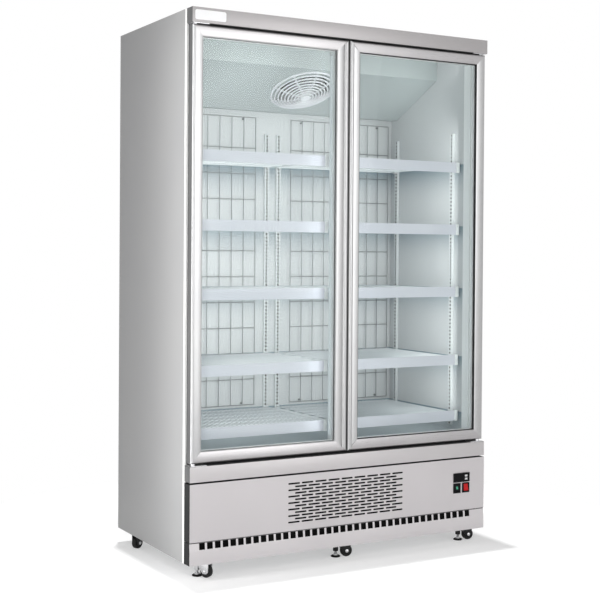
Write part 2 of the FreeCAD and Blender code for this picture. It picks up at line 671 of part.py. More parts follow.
def switch_bezel(place):
    x = switch_centre(place)
    z = SWITCH_CENTRE_HEIGHT
    half_width = SWITCH_WIDTH / 2
    half_height = SWITCH_HEIGHT / 2
    face = FRONT_Y - SWITCH_PROUD
    body_width = half_width - SWITCH_RIM
    body_height = half_height - SWITCH_RIM
    bezel = box(x - half_width, x + half_width, face, FRONT_Y, z - half_height, z + half_height)
    body = box(x - body_width, x + body_width, FRONT_Y, FRONT_Y + SWITCH_BODY_DEPTH,
               z - body_height, z + body_height)
    well_half_width = ROCKER_WIDTH / 2 + ROCKER_SIDE_GAP
    well_half_height = ROCKER_HEIGHT / 2 + ROCKER_END_GAP
    well_back = FRONT_Y + 2 * ROCKER_PIVOT_DEPTH
    well = box(x - well_half_width, x + well_half_width, face, well_back,
               z - well_half_height, z + well_half_height)
    pin_half = ROCKER_WIDTH / 2 + ROCKER_PIN_REACH + CUTOUT_CLEARANCE
    pin_bore = cylinder(ROCKER_PIN_RADIUS + RUNNING_FIT, 2 * pin_half,
                        Vector(x - pin_half, FRONT_Y + ROCKER_PIVOT_DEPTH, z), Vector(1, 0, 0))
    return joined(bezel, body).cut(well).cut(pin_bore)


def switch_bezels():
    return group([switch_bezel("left"), switch_bezel("right")])


def rocker(place):
    # The key is drawn level, then tipped so that its top edge is pressed in.
    x = switch_centre(place)
    z = SWITCH_CENTRE_HEIGHT
    left = x - ROCKER_WIDTH / 2
    half = ROCKER_HEIGHT / 2
    outline = [
        (half, ROCKER_EDGE),
        (0, ROCKER_EDGE - ROCKER_DISH),
        (-half, ROCKER_EDGE),
        (-half + ROCKER_SHOULDER, -ROCKER_SHOULDER),
        (-ROCKER_FOOT, -ROCKER_PIVOT_DEPTH - 2 * ROCKER_PIN_RADIUS),
        (ROCKER_FOOT, -ROCKER_PIVOT_DEPTH - 2 * ROCKER_PIN_RADIUS),
        (half - ROCKER_SHOULDER, -ROCKER_SHOULDER),
    ]
    key = prism([Vector(left, FRONT_Y - out, z + up) for up, out in outline], Vector(ROCKER_WIDTH, 0, 0))
    pivot = Vector(left, FRONT_Y + ROCKER_PIVOT_DEPTH, z)
    pin = cylinder(ROCKER_PIN_RADIUS, ROCKER_WIDTH + 2 * ROCKER_PIN_REACH,
                   pivot - Vector(ROCKER_PIN_REACH, 0, 0), Vector(1, 0, 0))
    return joined(key, pin).rotated(pivot, Vector(1, 0, 0), -math.degrees(ROCKER_TILT))


# Doors

def door_edges(side):
    return side * (HALF_WIDTH - DOOR_EDGE_INSET), side * DOOR_MEETING_GAP / 2


def bar_section(width, front_curves, place):
    # front_curves run from the outer edge to the sight line; the rest is the rebate for the glass.
    groove = width - GLASS_REBATE
    corners = [
        front_curves[-1].EndPoint,
        place(width, GLASS_FRONT_DEPTH),
        place(groove, GLASS_FRONT_DEPTH),
        place(groove, 0),
        place(0, 0),
        front_curves[0].StartPoint,
    ]
    lines = [Part.LineSegment(a, b) for a, b in zip(corners, corners[1:])]
    edges = [curve.toShape() for curve in front_curves + lines]
    return Part.Face(Part.Wire(Part.sortEdges(edges)[0]))


def frame_bar_section(place):
    bend = FRAME_CORNER * (1 - math.cos(math.pi / 4))
    shoulder = DOOR_THICKNESS - FRAME_CORNER
    crown = place(FRAME_CORNER, DOOR_THICKNESS)
    sight = place(FRAME_BAR, LIP_DEPTH)
    corner = Part.Arc(place(0, shoulder), place(bend, DOOR_THICKNESS - bend), crown)
    face = Part.LineSegment(crown, sight)
    edge = Part.LineSegment(sight, place(FRAME_BAR, GLASS_FRONT_DEPTH + LIP_THICKNESS / 2))
    return bar_section(FRAME_BAR, [corner, face, edge], place)


def pull_bar_section(place):
    crown = Part.Arc(place(0, LIP_DEPTH), place(PULL_WIDTH / 2, DOOR_THICKNESS + DOOR_SETBACK),
                     place(PULL_WIDTH, LIP_DEPTH))
    sight = place(PULL_BAR, LIP_DEPTH)
    face = Part.LineSegment(place(PULL_WIDTH, LIP_DEPTH), sight)
    edge = Part.LineSegment(sight, place(PULL_BAR, GLASS_FRONT_DEPTH + LIP_THICKNESS / 2))
    return bar_section(PULL_BAR, [crown, face, edge], place)


def mitre(corners):
    # A prism through the thickness of the door that trims one bar at its mitred corners.
    start = [Vector(x, FACE_Y, z) for x, z in corners]
    return prism(start, Vector(0, -2 * FRONT_PROJECTION, 0))


def door_frame(side):
    outer, meeting = door_edges(side)
    outer_in = outer - side * FRAME_BAR
    meeting_in = meeting + side * PULL_BAR
    low_in = DOOR_BOTTOM_Z + FRAME_BAR
    high_in = DOOR_TOP_Z - FRAME_BAR
    height = Vector(0, 0, DOOR_TOP_Z - DOOR_BOTTOM_Z)
    width = Vector(meeting - outer, 0, 0)

    def hinge_place(u, depth):
        return Vector(outer - side * u, DOOR_BACK_Y - depth, DOOR_BOTTOM_Z)

    def pull_place(u, depth):
        return Vector(meeting + side * u, DOOR_BACK_Y - depth, DOOR_BOTTOM_Z)

    def top_place(u, depth):
        return Vector(outer, DOOR_BACK_Y - depth, DOOR_TOP_Z - u)

    def bottom_place(u, depth):
        return Vector(outer, DOOR_BACK_Y - depth, DOOR_BOTTOM_Z + u)

    outer_low, outer_high = (outer, DOOR_BOTTOM_Z), (outer, DOOR_TOP_Z)
    meeting_low, meeting_high = (meeting, DOOR_BOTTOM_Z), (meeting, DOOR_TOP_Z)
    sight_low, sight_high = (outer_in, low_in), (outer_in, high_in)
    pull_low, pull_high = (meeting_in, low_in), (meeting_in, high_in)
    hinge_trim = mitre([outer_low, outer_high, sight_high, sight_low])
    pull_trim = mitre([meeting_low, meeting_high, pull_high, pull_low])
    top_trim = mitre([outer_high, meeting_high, pull_high, sight_high])
    bottom_trim = mitre([outer_low, meeting_low, pull_low, sight_low])
    bars = [
        frame_bar_section(hinge_place).extrude(height).common(hinge_trim),
        pull_bar_section(pull_place).extrude(height).common(pull_trim),
        frame_bar_section(top_place).extrude(width).common(top_trim),
        frame_bar_section(bottom_place).extrude(width).common(bottom_trim),
    ]
    bore_radius = HINGE_PIN_RADIUS + RUNNING_FIT
    bore_depth = HINGE_PIN_LENGTH + HINGE_END_PLAY
    bores = group([
        cylinder(bore_radius, bore_depth, Vector(side * HINGE_X, HINGE_Y, DOOR_BOTTOM_Z)),
        cylinder(bore_radius, bore_depth, Vector(side * HINGE_X, HINGE_Y, DOOR_TOP_Z - bore_depth)),
    ])
    return group([solid for bar in bars for solid in bar.cut(bores).Solids])


def glazing_rectangle(side, margin):
    # Edges of the rebate that holds the glass, drawn in by a margin.
    outer, meeting = door_edges(side)
    edges = sorted([outer - side * (FRAME_BAR - GLASS_REBATE), meeting + side * (PULL_BAR - GLASS_REBATE)])
    rail = FRAME_BAR - GLASS_REBATE
    return edges[0] + margin, edges[1] - margin, DOOR_BOTTOM_Z + rail + margin, DOOR_TOP_Z - rail - margin


def door_glass(side):
    x0, x1, z0, z1 = glazing_rectangle(side, GLASS_CLEARANCE)
    panes = []
    for depth in (GLASS_BACK_DEPTH, GLASS_FRONT_DEPTH - GLASS_PANE):
        back = DOOR_BACK_Y - depth
        panes.append(box(x0, x1, back - GLASS_PANE, back, z0, z1))
    return group(panes)


def door_seals(side):
    spacer_back = DOOR_BACK_Y - GLASS_BACK_DEPTH - GLASS_PANE
    bead_front = DOOR_BACK_Y - GLASS_BACK_DEPTH + SEAL_CLEARANCE
    outer, meeting = door_edges(side)
    gasket_edges = sorted([outer - side * GASKET_INSET, meeting + side * GASKET_INSET])
    spacer = bars_around(*glazing_rectangle(side, GLASS_CLEARANCE), SPACER_WIDTH,
                         spacer_back - GLASS_GAP, spacer_back)
    bead = bars_around(*glazing_rectangle(side, 0), BEAD_WIDTH, bead_front, DOOR_BACK_Y)
    gasket = bars_around(*gasket_edges, DOOR_BOTTOM_Z + GASKET_INSET, DOOR_TOP_Z - GASKET_INSET,
                         GASKET_WIDTH, DOOR_BACK_Y, FACE_Y - SEAL_CLEARANCE)
    return group(spacer + bead + gasket)


def hinge_brackets():
    brackets = []
    plate_back = HINGE_Y + HINGE_PLATE_DEPTH / 2
    plate_front = HINGE_Y - HINGE_PLATE_DEPTH / 2
    for side in SIDES:
        outer = side * (HALF_WIDTH - DOOR_EDGE_INSET)
        inner = outer - side * HINGE_PLATE_LENGTH
        lower_top = RAIL_TOP_Z + HINGE_PLATE
        lower_seat = DOOR_BOTTOM_Z - HINGE_END_PLAY
        axis = Vector(side * HINGE_X, HINGE_Y, 0)
        foot = axis + Vector(0, 0, RAIL_TOP_Z)
        lower = joined(
            box(outer, inner, plate_front, plate_back, RAIL_TOP_Z, lower_top),
            cylinder(HINGE_BOSS_RADIUS, lower_seat - RAIL_TOP_Z, foot),
            cylinder(HINGE_PIN_RADIUS, DOOR_BOTTOM_Z + HINGE_PIN_LENGTH - RAIL_TOP_Z, foot),
        )
        upper_seat = DOOR_TOP_Z + HINGE_END_PLAY
        pin_end = DOOR_TOP_Z - HINGE_PIN_LENGTH
        upper = joined(
            box(outer, inner, plate_front, plate_back, HEADER_BOTTOM_Z - HINGE_PLATE, HEADER_BOTTOM_Z),
            cylinder(HINGE_BOSS_RADIUS, HEADER_BOTTOM_Z - upper_seat, axis + Vector(0, 0, upper_seat)),
            cylinder(HINGE_PIN_RADIUS, HEADER_BOTTOM_Z - pin_end, axis + Vector(0, 0, pin_end)),
        )
        brackets += [lower, upper]
    return group(brackets)


# Shelving

def shelf_tops():
    return [SHELF_LOWEST_TOP + step * SLOT_PITCH for step in SHELF_STEPS]


def clip_top(shelf_top):
    return shelf_top - DECK_DROP


def slot_heights():
    # One slot lies level with the lowest clips, and the rest are spaced from it.
    start = clip_top(SHELF_LOWEST_TOP) - CLIP_HEIGHT / 2
    margin = SLOT_HEIGHT
    down = int((start - PILASTER_BOTTOM_Z - margin) // SLOT_PITCH)
    up = int((PILASTER_TOP - margin - start) // SLOT_PITCH)
    return [start + step * SLOT_PITCH for step in range(-down, up + 1)]


def pilaster_seats():
    # Foot of each pilaster on its wall, and the turn about Z that faces it into the cabinet.
    mullion_back = FACE_Y + MULLION_DEPTH
    front = FACE_Y + PILASTER_FRONT_SETBACK
    rear = INNER_BACK_Y - PILASTER_REAR_GAP
    seats = []
    for side in SIDES:
        turn = -90 * side
        seats.append((Vector(side * INNER_HALF, front, 0), turn))
        seats.append((Vector(side * INNER_HALF, rear, 0), turn))
        seats.append((Vector(side * BACK_PILASTER_OFFSET, INNER_BACK_Y, 0), 0))
        seats.append((Vector(side * MULLION_PILASTER_OFFSET, mullion_back, 0), 180))
    return seats


def seated(shape, seat):
    # Shapes are drawn against a wall at Y = 0, facing -Y.
    foot, turn = seat
    return shape.rotated(Vector(0, 0, 0), Vector(0, 0, 1), turn).translated(foot)


def pilaster():
    half = PILASTER_WIDTH / 2

    def place(x, z):
        return Vector(x, -PILASTER_DEPTH, z)

    outline = rectangle(-half, half, PILASTER_BOTTOM_Z, PILASTER_TOP, place)
    slots = [rectangle(-SLOT_WIDTH / 2, SLOT_WIDTH / 2, z - SLOT_HEIGHT / 2, z + SLOT_HEIGHT / 2, place)
             for z in slot_heights()]
    web = holed_plate(outline, slots, Vector(0, PILASTER_SHEET, 0))
    inner = half - PILASTER_SHEET
    legs = [box(side * half, side * inner, -PILASTER_DEPTH, 0, PILASTER_BOTTOM_Z, PILASTER_TOP)
            for side in SIDES]
    return joined(web, *legs)


def shelf_pilasters():
    strip = pilaster()
    return group([seated(strip, seat) for seat in pilaster_seats()])


def shelf_clip(top):
    half = CLIP_WIDTH / 2
    tongue_half = CLIP_TONGUE_WIDTH / 2
    middle = top - CLIP_HEIGHT / 2
    face = -PILASTER_DEPTH
    block = box(-half, half, face - CLIP_REACH, face, top - CLIP_HEIGHT, top)
    tongue = box(-tongue_half, tongue_half, face, face + CLIP_TONGUE_REACH,
                 middle - CLIP_TONGUE_HEIGHT / 2, middle + CLIP_TONGUE_HEIGHT / 2)
    return joined(block, tongue)


def shelf_clips():
    clips = [shelf_clip(clip_top(top)) for top in shelf_tops()]
    return group([seated(clip, seat) for clip in clips for seat in pilaster_seats()])


def shelf_ends(side):
    return sorted([side * SHELF_CENTRE_GAP / 2, side * (INNER_HALF - SHELF_WALL_GAP)])


def shelf_deck(side, top):
    x0, x1 = shelf_ends(side)
    z = clip_top(top)

    def place(x, y):
        return Vector(x, y, z)

    left, right = x0 + SHELF_BORDER, x1 - SHELF_BORDER
    near, far = SHELF_FRONT_Y + SHELF_BORDER, SHELF_BACK_Y - SHELF_BORDER
    columns = int((right - left) // SHELF_WIRE_PITCH)
    rows = SHELF_CROSS_WIRES + 1
    gap_width = (right - left - (columns - 1) * SHELF_WIRE) / columns
    gap_depth = (far - near - (rows - 1) * SHELF_WIRE) / rows
    gaps = []
    for column in range(columns):
        u = left + column * (gap_width + SHELF_WIRE)
        for row in range(rows):
            v = near + row * (gap_depth + SHELF_WIRE)
            gaps.append(rectangle(u, u + gap_width, v, v + gap_depth, place))
    outline = rectangle(x0, x1, SHELF_FRONT_Y, SHELF_BACK_Y, place)
    return holed_plate(outline, gaps, Vector(0, 0, SHELF_WIRE))


def shelves(side):
    return group([shelf_deck(side, top) for top in shelf_tops()])


def price_strip(side, top):
    # The strip runs along the shelf front and turns round its outer corner.
    inner = side * (MULLION_PILASTER_OFFSET + PILASTER_WIDTH / 2 + STRIP_CENTRE_GAP)
    shelf_end = side * (INNER_HALF - SHELF_WALL_GAP + STRIP_END_GAP)
    outer = shelf_end + side * STRIP_THICKNESS
    back = SHELF_FRONT_Y
    front = back - STRIP_THICKNESS
    far = front + STRIP_RETURN
    z = top - STRIP_HEIGHT
    cut = STRIP_CORNER * (1 - math.cos(math.pi / 4))
    small = STRIP_CORNER - STRIP_THICKNESS
    small_cut = small * (1 - math.cos(math.pi / 4))

    def place(x, y):
        return Vector(x, y, z)

    outside = Part.Arc(place(outer - side * STRIP_CORNER, front), place(outer - side * cut, front + cut),
                       place(outer, front + STRIP_CORNER))
    inside = Part.Arc(place(shelf_end, back + small), place(shelf_end - side * small_cut, back + small_cut),
                      place(shelf_end - side * small, back))
    lines = [
        Part.LineSegment(place(inner, front), outside.StartPoint),
        Part.LineSegment(outside.EndPoint, place(outer, far)),
        Part.LineSegment(place(outer, far), place(shelf_end, far)),
        Part.LineSegment(place(shelf_end, far), inside.StartPoint),
        Part.LineSegment(inside.EndPoint, place(inner, back)),
        Part.LineSegment(place(inner, back), place(inner, front)),
    ]
    edges = [curve.toShape() for curve in lines + [outside, inside]]
    strip = Part.Face(Part.Wire(Part.sortEdges(edges)[0])).extrude(Vector(0, 0, STRIP_HEIGHT))
    x0, x1 = shelf_ends(side)
    corner_room = box(x0, x1, SHELF_FRONT_Y, far, z, top)
    return strip.cut(corner_room)


def shelf_price_strips():
    return group([price_strip(side, top) for top in shelf_tops() for side in SIDES])


def back_wire_grid(side):
    x0, x1 = sorted([side * GRID_INNER_EDGE, side * (GRID_INNER_EDGE + GRID_WIDTH)])
    front = INNER_BACK_Y - GRID_STANDOFF - GRID_WIRE

    def place(x, z):
        return Vector(x, front, z)

    column_pitch = (GRID_WIDTH - GRID_WIRE) / GRID_COLUMNS
    gap_width = column_pitch - GRID_WIRE
    gaps = []
    for column in range(GRID_COLUMNS):
        u = x0 + GRID_WIRE + column * column_pitch
        for row in range(GRID_ROWS):
            v = GRID_BOTTOM + GRID_WIRE + row * GRID_ROW_PITCH
            pitch = GRID_TOP_ROW if row == GRID_ROWS - 1 else GRID_ROW_PITCH
            gaps.append(rectangle(u, u + gap_width, v, v + pitch - GRID_WIRE, place))
    outline = rectangle(x0, x1, GRID_BOTTOM, GRID_TOP_Z, place)
    mesh = holed_plate(outline, gaps, Vector(0, GRID_WIRE, 0))
    legs = []
    for x in (x0 + GRID_STANDOFF_RADIUS, x1 - GRID_STANDOFF_RADIUS):
        for row in (1, GRID_ROWS // 2, GRID_ROWS - 1):
            z = GRID_BOTTOM + row * GRID_ROW_PITCH + GRID_WIRE / 2
            foot = Vector(x, front + GRID_WIRE, z)
            legs.append(cylinder(GRID_STANDOFF_RADIUS, GRID_STANDOFF, foot, Vector(0, 1, 0)))
    return joined(mesh, *legs)


def back_wire_grids():
    return group([back_wire_grid(side) for side in SIDES])


# Evaporator and fans

def cover_section(offset):
    # The underside of the cover, from the ceiling down its face, along its slope and to the back wall.
    lean = COVER_SLOPE / 2
    face_shift = offset * math.tan(math.pi / 4 - lean)
    toe_shift = offset * math.tan(lean)
    slope_end_y = COVER_FRONT_Y + COVER_SLOPE_RUN
    slope_end_z = COVER_LIP_Z - COVER_SLOPE_DROP
    return [
        (COVER_FRONT_Y + offset, CEILING_Z),
        (COVER_FRONT_Y + offset, COVER_LIP_Z + face_shift),
        (slope_end_y + toe_shift, slope_end_z + offset),
        (INNER_BACK_Y, slope_end_z + offset),
    ]


def slope_frame():
    # Place on the upper side of the slope, with Z normal to it and pointing into the cover.
    y = COVER_FRONT_Y + FAN_SLOPE_PLACE * math.cos(COVER_SLOPE) + COVER_SHEET * math.sin(COVER_SLOPE)
    z = COVER_LIP_Z - FAN_SLOPE_PLACE * math.sin(COVER_SLOPE) + COVER_SHEET * math.cos(COVER_SLOPE)
    tilt = Rotation(Vector(1, 0, 0), -math.degrees(COVER_SLOPE))
    return FreeCAD.Placement(Vector(FAN_SIDE_OFFSET, y, z), tilt)


def placed(shape, placement):
    copy = shape.copy()
    copy.transformShape(placement.toMatrix(), True)
    return copy


def evaporator_cover():
    half = INNER_HALF - COVER_END_GAP
    outline = cover_section(0) + list(reversed(cover_section(COVER_SHEET)))
    sheet = prism([Vector(-half, y, z) for y, z in outline], Vector(2 * half, 0, 0))
    opening = cylinder(FAN_OPENING_RADIUS, 4 * COVER_SHEET, Vector(0, 0, -2 * COVER_SHEET))
    return sheet.cut(placed(opening, slope_frame()))


def guard_height(radius):
    return GUARD_DOME * (1 - (radius / GUARD_RADIUS) ** 2)


def fan_guard():
    # A shallow dome of rings and spokes, drawn upside down below the slope.
    below = -COVER_SHEET
    rim = cylinder(GUARD_RADIUS, GUARD_BAR, Vector(0, 0, below - GUARD_BAR))
    rim = rim.cut(cylinder(GUARD_RADIUS - GUARD_RIM, GUARD_BAR, Vector(0, 0, below - GUARD_BAR)))
    inner_edge = GUARD_RADIUS - GUARD_RIM
    step = (inner_edge - GUARD_HUB_RADIUS) / GUARD_RINGS
    hub_z = below - GUARD_BAR - guard_height(GUARD_HUB_RADIUS)
    pieces = [cylinder(GUARD_HUB_RADIUS, GUARD_BAR, Vector(0, 0, hub_z))]
    for ring in range(1, GUARD_RINGS):
        radius = GUARD_HUB_RADIUS + ring * step
        base = Vector(0, 0, below - GUARD_BAR - guard_height(radius))
        disc = cylinder(radius + GUARD_BAR / 2, GUARD_BAR, base)
        pieces.append(disc.cut(cylinder(radius - GUARD_BAR / 2, GUARD_BAR, base)))
    radii = [inner_edge + GUARD_RIM / 2]
    radii += [GUARD_HUB_RADIUS + ring * step for ring in range(GUARD_RINGS - 1, -1, -1)]
    curve = [(radius, below - guard_height(radius)) for radius in radii]
    curve[0] = (radii[0], below)
    mirrored = [(-radius, z) for radius, z in reversed(curve)]
    lower = [Vector(radius, -GUARD_BAR / 2, z - GUARD_BAR) for radius, z in curve + mirrored]
    upper = [Vector(radius, -GUARD_BAR / 2, z) for radius, z in reversed(curve + mirrored)]
    spoke = prism(lower + upper, Vector(0, GUARD_BAR, 0))
    for turn in range(GUARD_SPOKES):
        pieces.append(spoke.rotated(Vector(0, 0, 0), Vector(0, 0, 1), turn * 180.0 / GUARD_SPOKES))
    return placed(joined(rim, *pieces), slope_frame())


def fan_blades():
    # Axis along Z, with the mounting plane of the fan at Z = 0.
    hub_base = Vector(0, 0, FAN_HUB_GAP)
    hub = cylinder(FAN_HUB_RADIUS, FAN_HUB_LENGTH, hub_base)
    spindle = cylinder(SPINDLE_RADIUS, FAN_HUB_LENGTH + MOTOR_GAP + SPINDLE_REACH, hub_base)
    middle = Vector(0, 0, FAN_HUB_GAP + FAN_HUB_LENGTH / 2)
    sweep = cylinder(FAN_RADIUS, FAN_HUB_LENGTH, hub_base)
    half_width = FAN_BLADE_WIDTH / 2
    half_sheet = FAN_BLADE_SHEET / 2
    centre = Vector(0, 0, 0)
    plate = box(0, FAN_RADIUS, -half_width, half_width, -half_sheet, half_sheet)
    pitched = plate.rotated(centre, Vector(1, 0, 0), FAN_BLADE_PITCH)
    blade = pitched.translated(middle).common(sweep)
    step = 360.0 / FAN_BLADES
    blades = [blade.rotated(centre, Vector(0, 0, 1), place * step) for place in range(FAN_BLADES)]
    return joined(hub, spindle, *blades)


def fan_motor():
    # The motor hangs in a strap bracket that straddles the fan.
    motor = cylinder(MOTOR_RADIUS, MOTOR_LENGTH, Vector(0, 0, MOTOR_BASE))
    bearing = cylinder(SPINDLE_RADIUS + RUNNING_FIT, SPINDLE_REACH + RUNNING_FIT, Vector(0, 0, MOTOR_BASE))
    leg = FAN_RADIUS + BRACKET_GAP
    half = BRACKET_WIDTH / 2
    outer = leg + BRACKET_SHEET
    bridge = box(-outer, outer, -half, half, MOTOR_TOP, MOTOR_TOP + BRACKET_SHEET)
    legs = [box(side * leg, side * outer, -half, half, 0, MOTOR_TOP) for side in SIDES]
    return joined(motor, bridge, *legs).cut(bearing)


def condenser_fan_frame():
    # Behind the condenser, with Z pointing to the back of the cabinet.
    seat = Vector(CONDENSER_CENTRE, CONDENSER_BACK_Y, TRAY_TOP_Z + CONDENSER_FAN_HEIGHT)
    return FreeCAD.Placement(seat, Rotation(Vector(1, 0, 0), -90))


def fan_motors():
    return group([placed(fan_motor(), slope_frame()), placed(fan_motor(), condenser_fan_frame())])


def finned_coil(x0, x1, y0, y1, z0, z1, foot_z):
    # Fin pack between two end plates; the plates reach to foot_z, where the coil is fixed.
    pack = box(x0, x1, y0, y1, z0, z1)
    low, high = min(z0, foot_z), max(z1, foot_z)
    ends = [
        box(x0 - COIL_END_PLATE, x0, y0 - COIL_END_MARGIN, y1, low, high),
        box(x1, x1 + COIL_END_PLATE, y0 - COIL_END_MARGIN, y1, low, high),
    ]
    return joined(pack, *ends)


def evaporator_coil():
    back = INNER_BACK_Y - COIL_BACK_GAP
    top = CEILING_Z - COIL_TOP_GAP
    half = COIL_LENGTH / 2
    return finned_coil(-half, half, back - COIL_DEPTH, back, top - COIL_HEIGHT, top, CEILING_Z)


def condenser_coil():
    left = CONDENSER_CENTRE - CONDENSER_WIDTH / 2
    front = CONDENSER_BACK_Y - CONDENSER_DEPTH
    bottom = TRAY_TOP_Z + CONDENSER_FOOT
    right = left + CONDENSER_WIDTH
    top = bottom + CONDENSER_HEIGHT
    return finned_coil(left, right, front, CONDENSER_BACK_Y, bottom, top, TRAY_TOP_Z)


# Machine compartment

def compressor():
    plate_z = TRAY_TOP_Z + COMPRESSOR_FOOT_HEIGHT
    pot_z = plate_z + COMPRESSOR_PLATE
    centre = Vector(COMPRESSOR_CENTRE, COMPRESSOR_Y, 0)
    dome = COMPRESSOR_RADIUS / 2
    wall_top = COMPRESSOR_TOP_Z - dome
    pot = cylinder(COMPRESSOR_RADIUS, COMPRESSOR_HEIGHT, centre + Vector(0, 0, pot_z))
    rims = [edge for edge in pot.Edges if abs(edge.BoundBox.ZMin - COMPRESSOR_TOP_Z) < 1e-6]
    pot = pot.makeFillet(dome, rims)
    half_length = COMPRESSOR_PLATE_LENGTH / 2
    half_depth = COMPRESSOR_PLATE_DEPTH / 2
    plate = box(COMPRESSOR_CENTRE - half_length, COMPRESSOR_CENTRE + half_length,
                COMPRESSOR_Y - half_depth, COMPRESSOR_Y + half_depth, plate_z, pot_z)
    feet = []
    for u in SIDES:
        for v in SIDES:
            offset = Vector(u * (half_length - COMPRESSOR_FOOT_RADIUS),
                            v * (half_depth - COMPRESSOR_FOOT_RADIUS), TRAY_TOP_Z)
            feet.append(cylinder(COMPRESSOR_FOOT_RADIUS, COMPRESSOR_FOOT_HEIGHT, centre + offset))
    stubs = [cylinder(PIPE_RADIUS, STUB_TOP_Z - wall_top, centre + Vector(side * STUB_OFFSET, 0, wall_top))
             for side in SIDES]
    return joined(pot, plate, *feet, *stubs)


def bent_tube(points):
    # Straight runs joined by tangent bends, with a round section.
    pieces = []
    start = points[0]
    for before, corner, after in zip(points, points[1:], points[2:]):
        arriving = (corner - before).normalize()
        leaving = (after - corner).normalize()
        turn = arriving.getAngle(leaving)
        reach = PIPE_BEND * math.tan(turn / 2)
        enter = corner - arriving * reach
        inward = (leaving - arriving).normalize()
        centre = corner + inward * (PIPE_BEND / math.cos(turn / 2))
        ring = Part.Face(Part.Wire(Part.Circle(enter, arriving, PIPE_RADIUS).toShape()))
        pieces.append(cylinder(PIPE_RADIUS, (enter - start).Length, start, arriving))
        pieces.append(ring.revolve(centre, arriving.cross(leaving), math.degrees(turn)))
        start = corner + leaving * reach
    last = points[-1] - start
    pieces.append(cylinder(PIPE_RADIUS, last.Length, start, last))
    return joined(*pieces)


def refrigerant_pipes():
    run_z = STUB_TOP_Z + PIPE_RISE
    condenser_top = TRAY_TOP_Z + CONDENSER_FOOT + CONDENSER_HEIGHT
    condenser_y = CONDENSER_BACK_Y - CONDENSER_DEPTH / 2
    hot_x = COMPRESSOR_CENTRE - STUB_OFFSET
    cold_x = COMPRESSOR_CENTRE + STUB_OFFSET
    inlet_x = CONDENSER_CENTRE + CONDENSER_WIDTH / 2 - STUB_OFFSET
    outlet_x = CONDENSER_CENTRE - CONDENSER_WIDTH / 2 + STUB_OFFSET
    wall_y = BACK_Y - PIPE_BACK_GAP
    discharge = [
        Vector(hot_x, COMPRESSOR_Y, STUB_TOP_Z),
        Vector(hot_x, COMPRESSOR_Y, run_z),
        Vector(inlet_x, condenser_y, run_z),
        Vector(inlet_x, condenser_y, condenser_top),
    ]
    suction = [
        Vector(cold_x, COMPRESSOR_Y, STUB_TOP_Z),
        Vector(cold_x, COMPRESSOR_Y, run_z),
        Vector(cold_x, wall_y, run_z),
        Vector(cold_x, wall_y, FLOOR_BOTTOM_Z),
    ]
    liquid = [
        Vector(outlet_x, condenser_y, condenser_top),
        Vector(outlet_x, condenser_y, run_z),
        Vector(outlet_x, wall_y, run_z),
        Vector(outlet_x, wall_y, FLOOR_BOTTOM_Z),
    ]
    return group([bent_tube(route) for route in (discharge, suction, liquid)])


def condensate_tray():
    half = CONDENSATE_WIDTH / 2
    x0, x1 = CONDENSATE_CENTRE - half, CONDENSATE_CENTRE + half
    y0 = FACE_Y + CONDENSATE_SETBACK
    y1 = y0 + CONDENSATE_DEPTH
    top = TRAY_TOP_Z + CONDENSATE_HEIGHT
    outside = box(x0, x1, y0, y1, TRAY_TOP_Z, top)
    inside = box(x0 + CONDENSATE_SHEET, x1 - CONDENSATE_SHEET, y0 + CONDENSATE_SHEET, y1 - CONDENSATE_SHEET,
                 TRAY_TOP_Z + CONDENSATE_SHEET, top)
    return outside.cut(inside)


# Casters and levelling feet

def caster_seats():
    spread = HALF_WIDTH - CASTER_EDGE_INSET
    front = FACE_Y + FRONT_CASTER_SETBACK
    rear = BACK_Y - REAR_CASTER_GAP
    seats = {}
    for place, x, front_heading, rear_heading in zip(("left", "centre", "right"), (-spread, 0, spread),
                                                     FRONT_HEADINGS, REAR_HEADINGS):
        seats["front_" + place] = (Vector(x, front, 0), front_heading)
        seats["rear_" + place] = (Vector(x, rear, 0), rear_heading)
    return seats


def at_caster(shape, seat):
    # Casters are drawn about the swivel axis, with the wheel out along +X.
    foot, heading = seat
    return shape.rotated(Vector(0, 0, 0), Vector(0, 0, 1), heading).translated(foot)


def caster_plate():
    half = CASTER_PLATE_SIZE / 2
    low = GROUND_CLEARANCE - CASTER_PLATE
    plate = box(-half, half, -half, half, low, GROUND_CLEARANCE)
    return joined(plate, cylinder(KINGPIN_RADIUS, KINGPIN_LENGTH, Vector(0, 0, low - KINGPIN_LENGTH)))


def caster_plates():
    plate = caster_plate()
    return group([plate.translated(foot) for foot, heading in caster_seats().values()])


